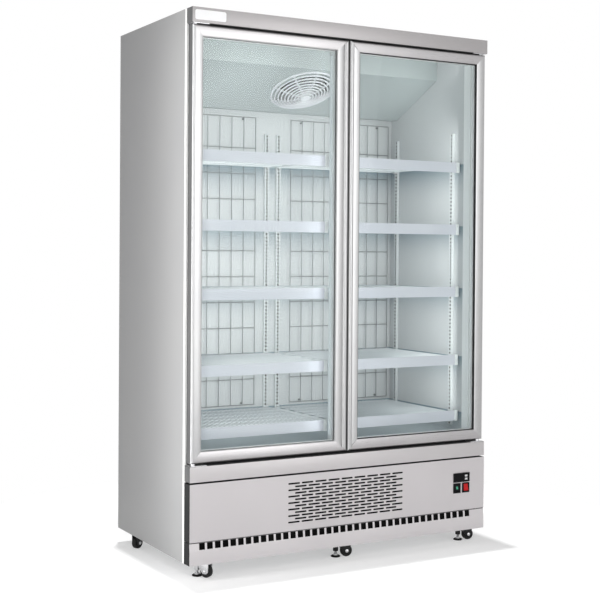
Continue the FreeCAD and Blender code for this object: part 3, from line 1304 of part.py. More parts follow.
def caster_fork():
    disc = cylinder(SWIVEL_DISC_RADIUS, SWIVEL_DISC, Vector(0, 0, SWIVEL_BOTTOM_Z))
    boss = cylinder(BOSS_RADIUS, SWIVEL_BOTTOM_Z - BOSS_BOTTOM, Vector(0, 0, BOSS_BOTTOM))
    near = WHEEL_WIDTH / 2 + CHEEK_GAP
    far = near + CHEEK
    crown = box(0, WHEEL_TRAIL + CHEEK_HALF_LENGTH, -far, far, SWIVEL_BOTTOM_Z, SWIVEL_TOP_Z - SWIVEL_GAP)
    outline = [
        (BOSS_RADIUS / 2, SWIVEL_BOTTOM_Z),
        (WHEEL_TRAIL - CHEEK_HALF_LENGTH / 2, WHEEL_RADIUS - CHEEK_DROP),
        (WHEEL_TRAIL + CHEEK_HALF_LENGTH / 2, WHEEL_RADIUS - CHEEK_DROP),
        (WHEEL_TRAIL + CHEEK_HALF_LENGTH, WHEEL_RADIUS),
        (WHEEL_TRAIL + CHEEK_HALF_LENGTH, SWIVEL_BOTTOM_Z),
    ]
    cheeks = [prism([Vector(u, side * near, z) for u, z in outline], Vector(0, side * CHEEK, 0))
              for side in SIDES]
    axle = cylinder(AXLE_RADIUS, 2 * near, Vector(WHEEL_TRAIL, -near, WHEEL_RADIUS), Vector(0, 1, 0))
    kingpin_bore = cylinder(KINGPIN_RADIUS + RUNNING_FIT, SWIVEL_DISC, Vector(0, 0, SWIVEL_BOTTOM_Z))
    boss_length = SWIVEL_BOTTOM_Z - BOSS_BOTTOM
    stem_bore = cylinder(STEM_RADIUS + RUNNING_FIT, boss_length, Vector(0, 0, BOSS_BOTTOM))
    return joined(disc, boss, crown, axle, *cheeks).cut(kingpin_bore).cut(stem_bore)


def caster_wheel():
    base = Vector(WHEEL_TRAIL, -WHEEL_WIDTH / 2, WHEEL_RADIUS)
    tyre = cylinder(WHEEL_RADIUS, WHEEL_WIDTH, base, Vector(0, 1, 0))
    tyre = tyre.makeFillet(WHEEL_CORNER, [edge for edge in tyre.Edges if edge.Length > WHEEL_WIDTH * 2])
    return tyre.cut(cylinder(AXLE_RADIUS + RUNNING_FIT, WHEEL_WIDTH, base, Vector(0, 1, 0)))


def levelling_foot():
    pad = cylinder(PAD_RADIUS, PAD_THICKNESS, Vector(0, 0, 0))
    stem = cylinder(STEM_RADIUS, STEM_TOP - PAD_THICKNESS, Vector(0, 0, PAD_THICKNESS))
    return joined(pad, stem)


def build_nodes():
    nodes = {
        "left_side_panel": side_panel(-1),
        "right_side_panel": side_panel(1),
        "top_panel": top_panel(),
        "back_panel": back_panel(),
        "cable_gland": cable_gland(),
        "base_tray": base_tray(),
        "wall_insulation": wall_insulation(),
        "inner_liner": inner_liner(),
        "door_opening_frame": door_opening_frame(),
        "centre_mullion": centre_mullion(),
        "led_light_bars": led_light_bars(),
        "header_canopy": header_canopy(),
        "lower_rail": lower_rail(),
        "front_service_panel": front_service_panel(),
        "kick_plate": kick_plate(),
        "thermostat_housing": thermostat_housing(),
        "thermostat_button_up": thermostat_button(1),
        "thermostat_button_down": thermostat_button(-1),
        "switch_bezels": switch_bezels(),
        "green_rocker": rocker("left"),
        "red_rocker": rocker("right"),
        "left_door_frame": door_frame(-1),
        "left_door_glass": door_glass(-1),
        "left_door_seals": door_seals(-1),
        "right_door_frame": door_frame(1),
        "right_door_glass": door_glass(1),
        "right_door_seals": door_seals(1),
        "hinge_brackets": hinge_brackets(),
        "shelf_pilasters": shelf_pilasters(),
        "shelf_clips": shelf_clips(),
        "left_shelves": shelves(-1),
        "right_shelves": shelves(1),
        "shelf_price_strips": shelf_price_strips(),
        "back_wire_grids": back_wire_grids(),
        "evaporator_cover": evaporator_cover(),
        "fan_guard": fan_guard(),
        "evaporator_coil": evaporator_coil(),
        "evaporator_fan_blades": placed(fan_blades(), slope_frame()),
        "fan_motors": fan_motors(),
        "compressor": compressor(),
        "condenser_coil": condenser_coil(),
        "condenser_fan_blades": placed(fan_blades(), condenser_fan_frame()),
        "refrigerant_pipes": refrigerant_pipes(),
        "condensate_tray": condensate_tray(),
        "caster_plates": caster_plates(),
    }
    for place, seat in caster_seats().items():
        nodes["caster_fork_" + place] = at_caster(caster_fork(), seat)
        nodes["caster_wheel_" + place] = at_caster(caster_wheel(), seat)
        if place.startswith("front"):
            nodes["levelling_foot_" + place] = at_caster(levelling_foot(), seat)
    return nodes


def main():
    os.makedirs("parts", exist_ok=True)
    for name, shape in build_nodes().items():
        shape.exportStep("parts/" + name + ".step")
        print(name, len(shape.Solids), "solids", round(shape.Volume / 1000, 1), "cm3", shape.isValid())


main()
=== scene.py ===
import json
import math

import bmesh
import bpy
from mathutils import Matrix, Vector


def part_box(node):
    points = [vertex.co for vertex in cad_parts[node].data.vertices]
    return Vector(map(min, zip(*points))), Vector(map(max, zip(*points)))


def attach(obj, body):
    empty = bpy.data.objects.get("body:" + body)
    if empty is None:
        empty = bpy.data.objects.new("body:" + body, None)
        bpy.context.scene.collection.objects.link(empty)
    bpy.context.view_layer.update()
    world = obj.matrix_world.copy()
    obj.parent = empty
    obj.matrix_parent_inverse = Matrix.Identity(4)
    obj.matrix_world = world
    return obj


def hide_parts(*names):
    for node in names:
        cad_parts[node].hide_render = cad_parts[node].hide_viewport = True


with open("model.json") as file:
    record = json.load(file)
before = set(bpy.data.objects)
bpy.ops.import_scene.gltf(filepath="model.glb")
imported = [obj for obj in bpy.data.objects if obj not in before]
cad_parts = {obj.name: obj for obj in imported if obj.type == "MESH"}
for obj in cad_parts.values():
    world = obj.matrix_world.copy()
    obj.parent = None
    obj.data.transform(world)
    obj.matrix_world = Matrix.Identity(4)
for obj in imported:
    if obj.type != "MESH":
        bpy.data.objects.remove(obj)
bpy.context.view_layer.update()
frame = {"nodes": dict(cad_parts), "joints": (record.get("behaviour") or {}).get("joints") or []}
cad = frame["nodes"]
jointOf = {joint["child"]: joint for joint in frame["joints"]}
print("frame loaded:", len(cad), "nodes")


def span(node):  # x0, x1, y0, y1, z0, z1 of a CAD node
    low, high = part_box(node)
    return low.x, high.x, low.y, high.y, low.z, high.z


faceY = span("left_side_panel")[2]  # plane behind the doors
frontY = span("header_canopy")[2]  # plane of the header, rail and service panel
halfWidth = span("right_side_panel")[1]
endBand, facing = 0.001, 0.7  # nearness to the cabinet's ends, and how square a face is to an axis


# Small mesh makers

def newPiece(name, mesh, material):
    piece = bpy.data.objects.new(name, mesh)
    bpy.context.scene.collection.objects.link(piece)
    for mat in material if isinstance(material, list) else [material]:
        mesh.materials.append(mat)
    return piece


def shadeSmooth(mesh, angle=35):
    mesh.polygons.foreach_set("use_smooth", [True] * len(mesh.polygons))
    mesh.set_sharp_from_angle(angle=math.radians(angle))
    mesh.update()


def keptMesh(name, bm, angle=35):  # a finished bmesh becomes a mesh
    mesh = bpy.data.meshes.new(name)
    bm.to_mesh(mesh)
    bm.free()
    shadeSmooth(mesh, angle)
    return mesh


def meshFrom(name, build, angle=35, weld=True):  # build fills a bmesh; normals are turned outwards
    bm = bmesh.new()
    build(bm)
    if weld:
        bmesh.ops.remove_doubles(bm, verts=bm.verts, dist=1e-6)
    bmesh.ops.recalc_face_normals(bm, faces=bm.faces)
    return keptMesh(name, bm, angle)


def addSkin(bm, a, b):  # faces between two loops of one length
    count = len(a)
    return [bm.faces.new((a[i], a[(i + 1) % count], b[(i + 1) % count], b[i])) for i in range(count)]


def addBlock(bm, x0, x1, y0, y1, z0, z1, round=0.0, steps=2):  # block with rounded edges
    made = bmesh.ops.create_cube(bm, size=1.0)["verts"]
    size = Vector((x1 - x0, y1 - y0, z1 - z0))
    middle = Vector((x0 + x1, y0 + y1, z0 + z1)) / 2
    for vert in made:
        vert.co = Vector((vert.co.x * size.x, vert.co.y * size.y, vert.co.z * size.z)) + middle
    if round > 0:
        edges = list({edge for vert in made for edge in vert.link_edges})
        bmesh.ops.bevel(bm, geom=edges, offset=round, segments=steps, profile=0.5, affect="EDGES")


def addLathe(bm, profile, place, turns=32, closed=False):  # profile of (radius, height), turned about local Z
    rings = []
    for radius, height in profile:
        if radius < 1e-7:
            rings.append([bm.verts.new(place @ Vector((0, 0, height)))])
            continue
        ring = []
        for step in range(turns):
            angle = 2 * math.pi * step / turns
            spot = Vector((radius * math.cos(angle), radius * math.sin(angle), height))
            ring.append(bm.verts.new(place @ spot))
        rings.append(ring)
    pairs = list(zip(rings, rings[1:])) + ([(rings[-1], rings[0])] if closed else [])
    for a, b in pairs:
        if len(a) > 1 and len(b) > 1:
            addSkin(bm, a, b)
            continue
        for step in range(turns):  # a fan, where one end is a point
            after = (step + 1) % turns
            if len(b) > 1:
                bm.faces.new((a[0], b[after], b[step]))
            elif len(a) > 1:
                bm.faces.new((a[step], a[after], b[0]))


def addRing(bm, x0, x1, z0, z1, profile):  # mitred picture-frame ring; profile of (inset, y), closed
    loops = []
    for sx, sz in ((0, 0), (1, 0), (1, 1), (0, 1)):
        loop = []
        for inset, y in profile:
            x = x1 - inset if sx else x0 + inset
            z = z1 - inset if sz else z0 + inset
            loop.append(bm.verts.new((x, y, z)))
        loops.append(loop)
    for corner in range(4):
        addSkin(bm, loops[corner], loops[(corner + 1) % 4])


def addPrism(bm, outline, z0, z1):  # outline of (x, y), drawn upwards
    low, high = ([bm.verts.new((x, y, z)) for x, y in outline] for z in (z0, z1))
    addSkin(bm, low, high)
    bm.faces.new(low[::-1])
    bm.faces.new(high)


def addBar(bm, profile, place, length, startCut, endCut, slot, sideEdges=0):  # bar with sloping ends
    near = [bm.verts.new(place(u, d, startCut * u)) for u, d in profile]
    far = [bm.verts.new(place(u, d, length - endCut * u)) for u, d in profile]
    faces = addSkin(bm, near, far) + [bm.faces.new(near), bm.faces.new(list(reversed(far)))]
    for number, face in enumerate(faces):
        face.material_index = 2 if number < sideEdges else slot  # the first edges are the bar's outer side, painted dark grey as painted shade


def softenedCopy(node, name, width, material, steps=2, angle=30, hidden=()):  # CAD shape with eased edges
    bm = bmesh.new()
    bm.from_mesh(cad[node].data)
    bmesh.ops.remove_doubles(bm, verts=bm.verts, dist=2e-6)
    bmesh.ops.dissolve_limit(bm, angle_limit=math.radians(1), verts=bm.verts, edges=bm.edges)
    if width > 0:
        limit = math.radians(angle)
        sharp = [e for e in bm.edges if len(e.link_faces) == 2 and e.calc_face_angle(0) > limit]
        bmesh.ops.bevel(bm, geom=sharp, offset=width, segments=steps, profile=0.5, affect="EDGES",
                        clamp_overlap=True)
    bmesh.ops.recalc_face_normals(bm, faces=bm.faces)
    bm.normal_update()
    for face in bm.faces:  # a second finish, where given, is painted shade on the two ends of the cabinet and on the hidden sides
        outermost = abs(face.calc_center_median().x) > halfWidth - endBand
        ending = outermost and abs(face.normal.x) > facing
        face.material_index = 1 if ending or any(way * face.normal.z > facing for way in hidden) else 0
    mesh = keptMesh(name, bm)
    if not isinstance(material, list):
        mesh.polygons.foreach_set("material_index", [0] * len(mesh.polygons))
    return newPiece(name, mesh, material)


def ridesFor(piece, body, *stoodFor, slot=None):
    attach(piece, body)
    if stoodFor:
        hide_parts(*stoodFor)
    return piece


def dressed(name, build, key, body, *stoodFor, slot):  # mesh, finish and body of one new piece
    return ridesFor(newPiece(name, meshFrom(name, build), finish[key]), body, *stoodFor, slot=slot)


# Node helpers, for materials and Geometry Nodes alike

def feed(tree, socket, value):  # a socket is linked, a plain value is set
    if isinstance(value, bpy.types.NodeSocket):
        tree.links.new(value, socket)
    else:
        socket.default_value = value


def put(tree, kind, **values):  # adds a node; keyword values are sockets or plain values
    node = tree.nodes.new(kind)
    for label, value in values.items():
        feed(tree, node.inputs[label.replace("_", " ")], value)
    return node


def putMath(tree, operation, first, second=0.0):
    node = tree.nodes.new("ShaderNodeMath")
    node.operation = operation
    for socket, value in zip(node.inputs, (first, second)):
        feed(tree, socket, value)
    return node.outputs[0]


def putVector(tree, x=0.0, y=0.0, z=0.0):
    node = tree.nodes.new("ShaderNodeCombineXYZ")
    for socket, value in zip(node.inputs, (x, y, z)):
        feed(tree, socket, value)
    return node.outputs[0]


# Material makers, all on Object coordinates

def freshMaterial(name):
    mat = bpy.data.materials.new(name)
    mat.use_nodes = True
    return mat, mat.node_tree, mat.node_tree.nodes["Principled BSDF"]


def objectNoise(tree, scale, detail=3.0, stretch=(1, 1, 1)):
    coord = put(tree, "ShaderNodeTexCoord")
    mapping = put(tree, "ShaderNodeMapping", Vector=coord.outputs["Object"], Scale=stretch)
    noise = put(tree, "ShaderNodeTexNoise", Vector=mapping.outputs["Vector"], Scale=scale, Detail=detail)
    return noise.outputs["Fac"]


def ranged(tree, source, low, high, fromLow=0.3, fromHigh=0.7):
    node = put(tree, "ShaderNodeMapRange", Value=source, From_Min=fromLow, From_Max=fromHigh, To_Min=low,
               To_Max=high)
    return node.outputs["Result"]


def mixed(tree, factor, first, second):  # colours may be tuples or sockets
    node = tree.nodes.new("ShaderNodeMix")
    node.data_type = "RGBA"
    for socket, value in ((node.inputs[0], factor), (node.inputs[6], first), (node.inputs[7], second)):
        feed(tree, socket, (*value, 1.0) if isinstance(value, tuple) else value)
    return node.outputs[2]


def mixedShader(tree, factor, first, second):
    node = tree.nodes.new("ShaderNodeMixShader")
    for socket, value in zip(node.inputs, (factor, first, second)):
        tree.links.new(value, socket)
    return node.outputs["Shader"]


def axisValue(tree, axis):
    coord = put(tree, "ShaderNodeTexCoord")
    return put(tree, "ShaderNodeSeparateXYZ", Vector=coord.outputs["Object"]).outputs[axis]


paintBase = {"ior": 1.45, "coatRough": 0.1, "patch": 5.0, "grain": 900.0, "bump": 0.05, "bumpDepth": 0.0004}


def surface(name, look):  # one finish: mottled colour, grained roughness and a fine bump
    mat, tree, bsdf = freshMaterial(name)
    bsdf.inputs["Metallic"].default_value = look.get("metal", 0.0)
    bsdf.inputs["IOR"].default_value = paintBase["ior"]
    bsdf.inputs["Specular IOR Level"].default_value = look.get("specular", 0.5)
    bsdf.inputs["Coat Weight"].default_value = look.get("coat", 0.0)
    bsdf.inputs["Coat Roughness"].default_value = paintBase["coatRough"]
    patch = ranged(tree, objectNoise(tree, look.get("patch", paintBase["patch"]), 2.0), 0.0, 1.0)
    color = mixed(tree, patch, look["color"], look.get("second", look["color"]))
    for limits, paint in look.get("bands", []):  # a stretch of one or two axes in another colour
        inside = None
        for axis, low, high in limits:
            value = axisValue(tree, axis)
            for operation, limit in (("GREATER_THAN", low), ("LESS_THAN", high)):
                test = putMath(tree, operation, value, limit)
                inside = test if inside is None else putMath(tree, "MULTIPLY", inside, test)
        color = mixed(tree, inside, color, paint)
    if "under" in look:  # soft shade that fades downwards from each level
        height, under = axisValue(tree, 2), look["under"]
        for level in under["levels"]:
            below = putMath(tree, "LESS_THAN", height, level)
            strength = ranged(tree, height, 0.0, under["most"], level - under["reach"], level)
            curve = putMath(tree, "MULTIPLY", strength, strength)
            color = mixed(tree, putMath(tree, "MULTIPLY", below, curve), color, under["paint"])
    tree.links.new(color, bsdf.inputs["Base Color"])
    grain = objectNoise(tree, look.get("grain", paintBase["grain"]), 4.0, look.get("stretch", (1, 1, 1)))
    low, high = look["rough"]
    tree.links.new(ranged(tree, grain, low, high), bsdf.inputs["Roughness"])
    strength, depth = look.get("bump", paintBase["bump"]), look.get("bumpDepth", paintBase["bumpDepth"])
    if strength > 0:
        bump = put(tree, "ShaderNodeBump", Strength=strength, Distance=depth, Height=grain)
        tree.links.new(bump.outputs["Normal"], bsdf.inputs["Normal"])
    if "glow" in look:
        bsdf.inputs["Emission Color"].default_value = (*look["glow"], 1.0)
        bsdf.inputs["Emission Strength"].default_value = look["glowStrength"]
    return mat


paneLook = {"tint": (0.965, 0.985, 0.98), "through": (0.945, 0.957, 0.955), "ior": 1.16, "smear": 9.0,
            "rough": 0.03}


def clearGlass(name):
    mat, tree, bsdf = freshMaterial(name)
    bsdf.inputs["Base Color"].default_value = (*paneLook["tint"], 1.0)
    bsdf.inputs["Transmission Weight"].default_value = 1.0
    bsdf.inputs["IOR"].default_value = paneLook["ior"]  # coated panes mirror little
    smear = objectNoise(tree, paneLook["smear"], 2.0)
    tree.links.new(ranged(tree, smear, 0.0, paneLook["rough"]), bsdf.inputs["Roughness"])
    path = put(tree, "ShaderNodeLightPath")
    clear = put(tree, "ShaderNodeBsdfTransparent", Color=(*paneLook["through"], 1.0))  # lamps shine through
    plain = putMath(tree, "MAXIMUM", path.outputs["Is Shadow Ray"], path.outputs["Is Diffuse Ray"])
    shown = mixedShader(tree, plain, bsdf.outputs["BSDF"], clear.outputs["BSDF"])
    tree.links.new(shown, tree.nodes["Material Output"].inputs["Surface"])
    return mat


fold = {"below": 0.01, "skin": 0.0006, "border": 0.0072, "deep": 0.014}  # folded front edge of the sides, with painted shade on the face that the doors close on
# foldShade is painted shade for the gap behind the doors; foldPale is the pale band along the fold
foldPale, foldShade = (0.86, 0.86, 0.85), (0.10, 0.10, 0.10)
frontFace = (1, faceY - fold["below"], faceY + fold["skin"])
sideLook = {
    "color": (0.325, 0.325, 0.33), "second": (0.34, 0.34, 0.34), "patch": 3.0,
    "rough": (0.36, 0.46), "bumpDepth": 0.0002,
    "bands": [([frontFace], foldShade),
              ([frontFace, (0, -1, fold["border"] - halfWidth)], foldPale),
              ([frontFace, (0, halfWidth - fold["border"], 1)], foldPale),
              ([(1, faceY + fold["skin"], faceY + fold["deep"])], foldPale)],
}
doorLow, doorHigh = span("left_door_frame")[4:]
gapShade, gapReach = (0.006, 0.006, 0.006), 0.015  # painted shade on the opening frame's front face, seen in the gaps over and under the doors
floorSheet = 0.0015
floorTop = span("inner_liner")[4] + floorSheet
deckLevels = sorted({round(v.co.z, 4) for v in cad["left_shelves"].data.vertices})
deckTops = deckLevels[1::2]
shelfShade = {"levels": deckTops, "reach": 0.15, "most": 1.0, "paint": (0.21, 0.285, 0.33)}
looks = {
    "side": sideLook,
    "top": {"color": (0.52, 0.52, 0.52), "second": (0.56, 0.56, 0.56), "rough": (0.4, 0.5)},
    "header": {"color": (0.37, 0.355, 0.357), "second": (0.395, 0.38, 0.382), "metal": 0.62,
               "rough": (0.42, 0.54), "patch": 2.0, "grain": 60.0, "stretch": (0.4, 30, 30), "bump": 0.03,
               "bumpDepth": 0.0002},
    "panel": {"color": (0.51, 0.487, 0.497), "second": (0.545, 0.521, 0.531), "metal": 0.15,
              "rough": (0.34, 0.46), "patch": 2.5, "grain": 1000.0, "bump": 0.06, "bumpDepth": 0.0002},
    # the stiles are painted a little lighter than the rails, as painted light; the brushing runs along each
    # bar
    "frameUp": {"color": (0.38, 0.38, 0.385), "second": (0.41, 0.41, 0.41), "metal": 0.85,
                "rough": (0.26, 0.38), "grain": 70.0, "stretch": (30, 30, 0.4), "bump": 0.03,
                "bumpDepth": 0.0002},
    "frameAcross": {"color": (0.36, 0.35, 0.355), "second": (0.39, 0.38, 0.385), "metal": 0.85,
                    "rough": (0.26, 0.38), "grain": 70.0, "stretch": (0.4, 30, 30), "bump": 0.03,
                    "bumpDepth": 0.0002},
    "rubber": {"color": (0.012, 0.012, 0.013), "second": (0.02, 0.02, 0.02), "rough": (0.45, 0.6),
               "grain": 1500.0, "bump": 0.1},
    "gasket": {"color": (0.45, 0.46, 0.46), "second": (0.50, 0.50, 0.50), "rough": (0.5, 0.62),
               "grain": 1500.0, "bump": 0.08},
    "spacer": {"color": (0.75, 0.76, 0.77), "second": (0.82, 0.82, 0.82), "metal": 0.7, "rough": (0.3, 0.45),
               "grain": 1200.0, "bump": 0.06},
    "mullion": {"color": (0.84, 0.85, 0.86), "second": (0.88, 0.89, 0.89), "rough": (0.32, 0.45)},
    "lip": {"color": (0.92, 0.93, 0.935), "second": (0.95, 0.955, 0.96), "rough": (0.4, 0.52)},
    "opening": {"color": (0.86, 0.87, 0.875), "second": (0.89, 0.90, 0.905), "rough": (0.3, 0.42),
                "bands": [([frontFace, (2, 0, doorLow + gapReach)], gapShade),
                          ([frontFace, (2, doorHigh - gapReach, 3)], gapShade)]},
    "liner": {"color": (0.61, 0.622, 0.636), "second": (0.64, 0.652, 0.661), "rough": (0.38, 0.5),
              "grain": 700.0, "bump": 0.03, "bands": [([(2, 0, floorTop)], (0.52, 0.56, 0.575))],
              "under": shelfShade},
    "cover": {"color": (0.46, 0.50, 0.505), "second": (0.49, 0.53, 0.535), "rough": (0.40, 0.46),
              "grain": 700.0, "bump": 0.012, "bumpDepth": 0.0002},
    "pilaster": {"color": (0.66, 0.68, 0.69), "second": (0.70, 0.72, 0.73), "rough": (0.34, 0.46)},
    # painted shade: the wires are painted dark for their shadows on the wall
    "gridWire": {"color": (0.22, 0.235, 0.245), "second": (0.28, 0.29, 0.30), "metal": 0.2,
                 "rough": (0.3, 0.45), "grain": 1200.0, "bump": 0.1},
    "wire": {"color": (0.80, 0.83, 0.855), "second": (0.88, 0.90, 0.92), "rough": (0.28, 0.42),
             "grain": 1200.0, "bump": 0.1},
    "strip": {"color": (0.705, 0.705, 0.775), "second": (0.745, 0.74, 0.805), "rough": (0.45, 0.55),
              "grain": 500.0, "bump": 0.03, "specular": 0.15},
    "light": {"color": (0.78, 0.82, 0.84), "second": (0.82, 0.85, 0.87), "rough": (0.4, 0.55),
              "glow": (0.85, 0.93, 1.0), "glowStrength": 0.06, "bump": 0.0},
    "black": {"color": (0.005, 0.005, 0.006), "second": (0.009, 0.009, 0.010), "rough": (0.42, 0.58),
              "grain": 1600.0, "bump": 0.12, "specular": 0.08},
    "display": {"color": (0.003, 0.003, 0.004), "second": (0.005, 0.005, 0.006), "rough": (0.12, 0.2),
                "grain": 300.0, "specular": 0.10, "bump": 0.0},
    # painted shade for the cabinet's ends, the hidden sides of the front panels, the door bars' sides and the
    # pilaster slots
    "shadeBlack": {"color": (0.012, 0.012, 0.013), "second": (0.02, 0.02, 0.02), "rough": (0.5, 0.62),
                 "specular": 0.15},
    "shadeGrey": {"color": (0.10, 0.10, 0.102), "second": (0.13, 0.13, 0.13), "rough": (0.45, 0.55),
                "specular": 0.2},
    "filter": {"color": (0.004, 0.004, 0.004), "second": (0.007, 0.007, 0.007), "rough": (0.85, 0.95),
               "grain": 260.0, "bump": 0.5, "specular": 0.05},
    # the lower rail is the header's steel, painted lighter as painted light
    "rail": {"color": (0.46, 0.442, 0.447), "second": (0.49, 0.472, 0.477), "metal": 0.5,
             "rough": (0.42, 0.54), "patch": 2.0, "grain": 60.0, "stretch": (0.4, 30, 30), "bump": 0.03,
             "bumpDepth": 0.0002},
    "guardWire": {"color": (0.80, 0.80, 0.845), "second": (0.86, 0.86, 0.89), "rough": (0.32, 0.46),
                  "grain": 1200.0, "bump": 0.1},
    "key": {"color": (0.62, 0.62, 0.625), "second": (0.66, 0.66, 0.665), "rough": (0.3, 0.42),
            "grain": 1600.0, "bump": 0.06},
    "green": {"color": (0.03, 0.26, 0.15), "second": (0.05, 0.32, 0.19), "rough": (0.2, 0.32), "grain": 800.0,
              "glow": (0.08, 0.6, 0.35), "glowStrength": 0.05, "bump": 0.0},
    "red": {"color": (0.40, 0.008, 0.010), "second": (0.50, 0.014, 0.016), "rough": (0.2, 0.32),
            "grain": 800.0, "specular": 0.2, "glow": (0.9, 0.02, 0.02), "glowStrength": 0.03, "bump": 0.0},
    "zinc": {"color": (0.46, 0.47, 0.48), "second": (0.58, 0.59, 0.60), "metal": 0.75, "rough": (0.35, 0.55),
             "patch": 30.0, "grain": 300.0, "bump": 0.05},
    "fins": {"color": (0.50, 0.51, 0.52), "second": (0.60, 0.60, 0.61), "metal": 0.8, "rough": (0.35, 0.5),
             "grain": 120.0, "stretch": (6, 0.2, 0.2), "bump": 0.8, "bumpDepth": 0.002},
    "motor": {"color": (0.02, 0.02, 0.021), "second": (0.035, 0.035, 0.036), "rough": (0.5, 0.65),
              "grain": 500.0, "bump": 0.2},
    "enamel": {"color": (0.010, 0.010, 0.011), "second": (0.016, 0.016, 0.017), "rough": (0.2, 0.32),
               "grain": 200.0, "bump": 0.05, "coat": 0.3},
    "copper": {"color": (0.62, 0.28, 0.16), "second": (0.70, 0.36, 0.22), "metal": 1.0, "rough": (0.25, 0.4),
               "patch": 20.0, "grain": 300.0, "bump": 0.04},
    "foam": {"color": (0.70, 0.62, 0.40), "second": (0.76, 0.68, 0.46), "rough": (0.8, 0.95), "grain": 300.0,
             "bump": 0.4},
    "fork": {"color": (0.008, 0.008, 0.009), "second": (0.014, 0.014, 0.015), "rough": (0.3, 0.45),
             "bump": 0.08, "specular": 0.35},
    "plated": {"color": (0.56, 0.56, 0.57), "second": (0.66, 0.66, 0.67), "metal": 0.9, "rough": (0.22, 0.36),
               "patch": 40.0, "grain": 700.0, "bump": 0.04},
    "tyre": {"color": (0.005, 0.005, 0.005), "second": (0.010, 0.010, 0.010), "rough": (0.45, 0.62),
             "bump": 0.15, "specular": 0.25},
    "badge": {"color": (0.84, 0.84, 0.85), "second": (0.88, 0.88, 0.88), "rough": (0.25, 0.35), "bump": 0.03,
              "coat": 0.3},
}
finish = {name: surface(name + "Finish", look) for name, look in looks.items()}
finish["glass"] = clearGlass("paneGlass")
print("finishes made:", len(finish))

finishNodes = {
    "side": ["left_side_panel", "right_side_panel"], "top": ["top_panel"], "foam": ["wall_insulation"],
    "liner": ["inner_liner"], "opening": ["door_opening_frame"], "mullion": ["centre_mullion"],
    "light": ["led_light_bars"], "header": ["header_canopy", "lower_rail"],
    "panel": ["front_service_panel", "kick_plate"], "zinc": ["back_panel", "base_tray", "condensate_tray"],
    "black": ["cable_gland", "thermostat_housing", "switch_bezels", "green_rocker", "evaporator_fan_blades",
              "condenser_fan_blades"],
    "key": ["thermostat_button_up", "thermostat_button_down"], "red": ["red_rocker"],
    "frameUp": ["left_door_frame", "right_door_frame"], "glass": ["left_door_glass", "right_door_glass"],
    "rubber": ["left_door_seals", "right_door_seals"], "plated": ["hinge_brackets", "caster_plates"],
    "pilaster": ["shelf_pilasters", "shelf_clips"], "strip": ["shelf_price_strips"],
    "wire": ["left_shelves", "right_shelves", "back_wire_grids", "fan_guard"], "cover": ["evaporator_cover"],
    "fins": ["evaporator_coil", "condenser_coil"], "motor": ["fan_motors"], "enamel": ["compressor"],
    "copper": ["refrigerant_pipes"],
}
finishOf = {node: key for key, nodes in finishNodes.items() for node in nodes}
for node, piece in cad.items():
    rolling = "fork" if "fork" in node else "tyre" if "wheel" in node else "plated"  # casters and feet
    piece.data.materials.clear()
    piece.data.materials.append(finish[finishOf.get(node, rolling)])


# Geometry Nodes helpers

wireAngle = 50  # edges of grown meshes that turn more than this stay crisp


def geoTree(name, inputs):
    tree = bpy.data.node_groups.new(name, "GeometryNodeTree")
    for label, (kind, value) in inputs.items():
        socket = tree.interface.new_socket(label, in_out="INPUT", socket_type="NodeSocket" + kind)
        if kind != "Material":
            socket.default_value = value
    tree.interface.new_socket("Mesh", in_out="OUTPUT", socket_type="NodeSocketGeometry")
    return tree, tree.nodes.new("NodeGroupInput"), tree.nodes.new("NodeGroupOutput")


def putTube(tree, curve, radius, sides=8):  # round wire along a curve
    ring = put(tree, "GeometryNodeCurvePrimitiveCircle", Resolution=sides, Radius=radius)
    tube = put(tree, "GeometryNodeCurveToMesh", Curve=curve, Profile_Curve=ring.outputs["Curve"],
               Fill_Caps=True)
    return tube.outputs["Mesh"]


def putFinish(tree, parts, material, out):  # join, realize, set material
    join = tree.nodes.new("GeometryNodeJoinGeometry")
    for part in parts:
        tree.links.new(part, join.inputs["Geometry"])
    real = put(tree, "GeometryNodeRealizeInstances", Geometry=join.outputs["Geometry"])
    done = put(tree, "GeometryNodeSetMaterial", Geometry=real.outputs["Geometry"], Material=material)
    tree.links.new(done.outputs["Geometry"], out.inputs["Mesh"])


def grownMesh(tree, name, values):  # runs a tree once and keeps the plain mesh
    holder = bpy.data.objects.new(name + "Source", bpy.data.meshes.new(name + "Source"))
    bpy.context.scene.collection.objects.link(holder)
    mod = holder.modifiers.new("grow", "NODES")
    mod.node_group = tree
    for item in tree.interface.items_tree:
        if item.item_type == "SOCKET" and item.in_out == "INPUT" and item.name in values:
            mod[item.identifier] = values[item.name]
    bpy.context.view_layer.update()
    evaluated = holder.evaluated_get(bpy.context.evaluated_depsgraph_get())
    mesh = bpy.data.meshes.new_from_object(evaluated)
    mesh.name = name
    bpy.data.objects.remove(holder)
    shadeSmooth(mesh, wireAngle)
    return mesh


def repeated(name, mesh, moves, material):  # one mesh copied to several places
    bm = bmesh.new()
    for move in moves:
        copy = mesh.copy()
        copy.transform(move)
        bm.from_mesh(copy)
        bpy.data.meshes.remove(copy)
    joined = keptMesh(name, bm, wireAngle)
    joined.materials.clear()
    return newPiece(name, joined, material)


# Wire shelves

shelfWire = {"pitch": 0.0175, "wire": 0.0019, "rod": 0.0029, "crossRods": 5, "corner": 0.012}


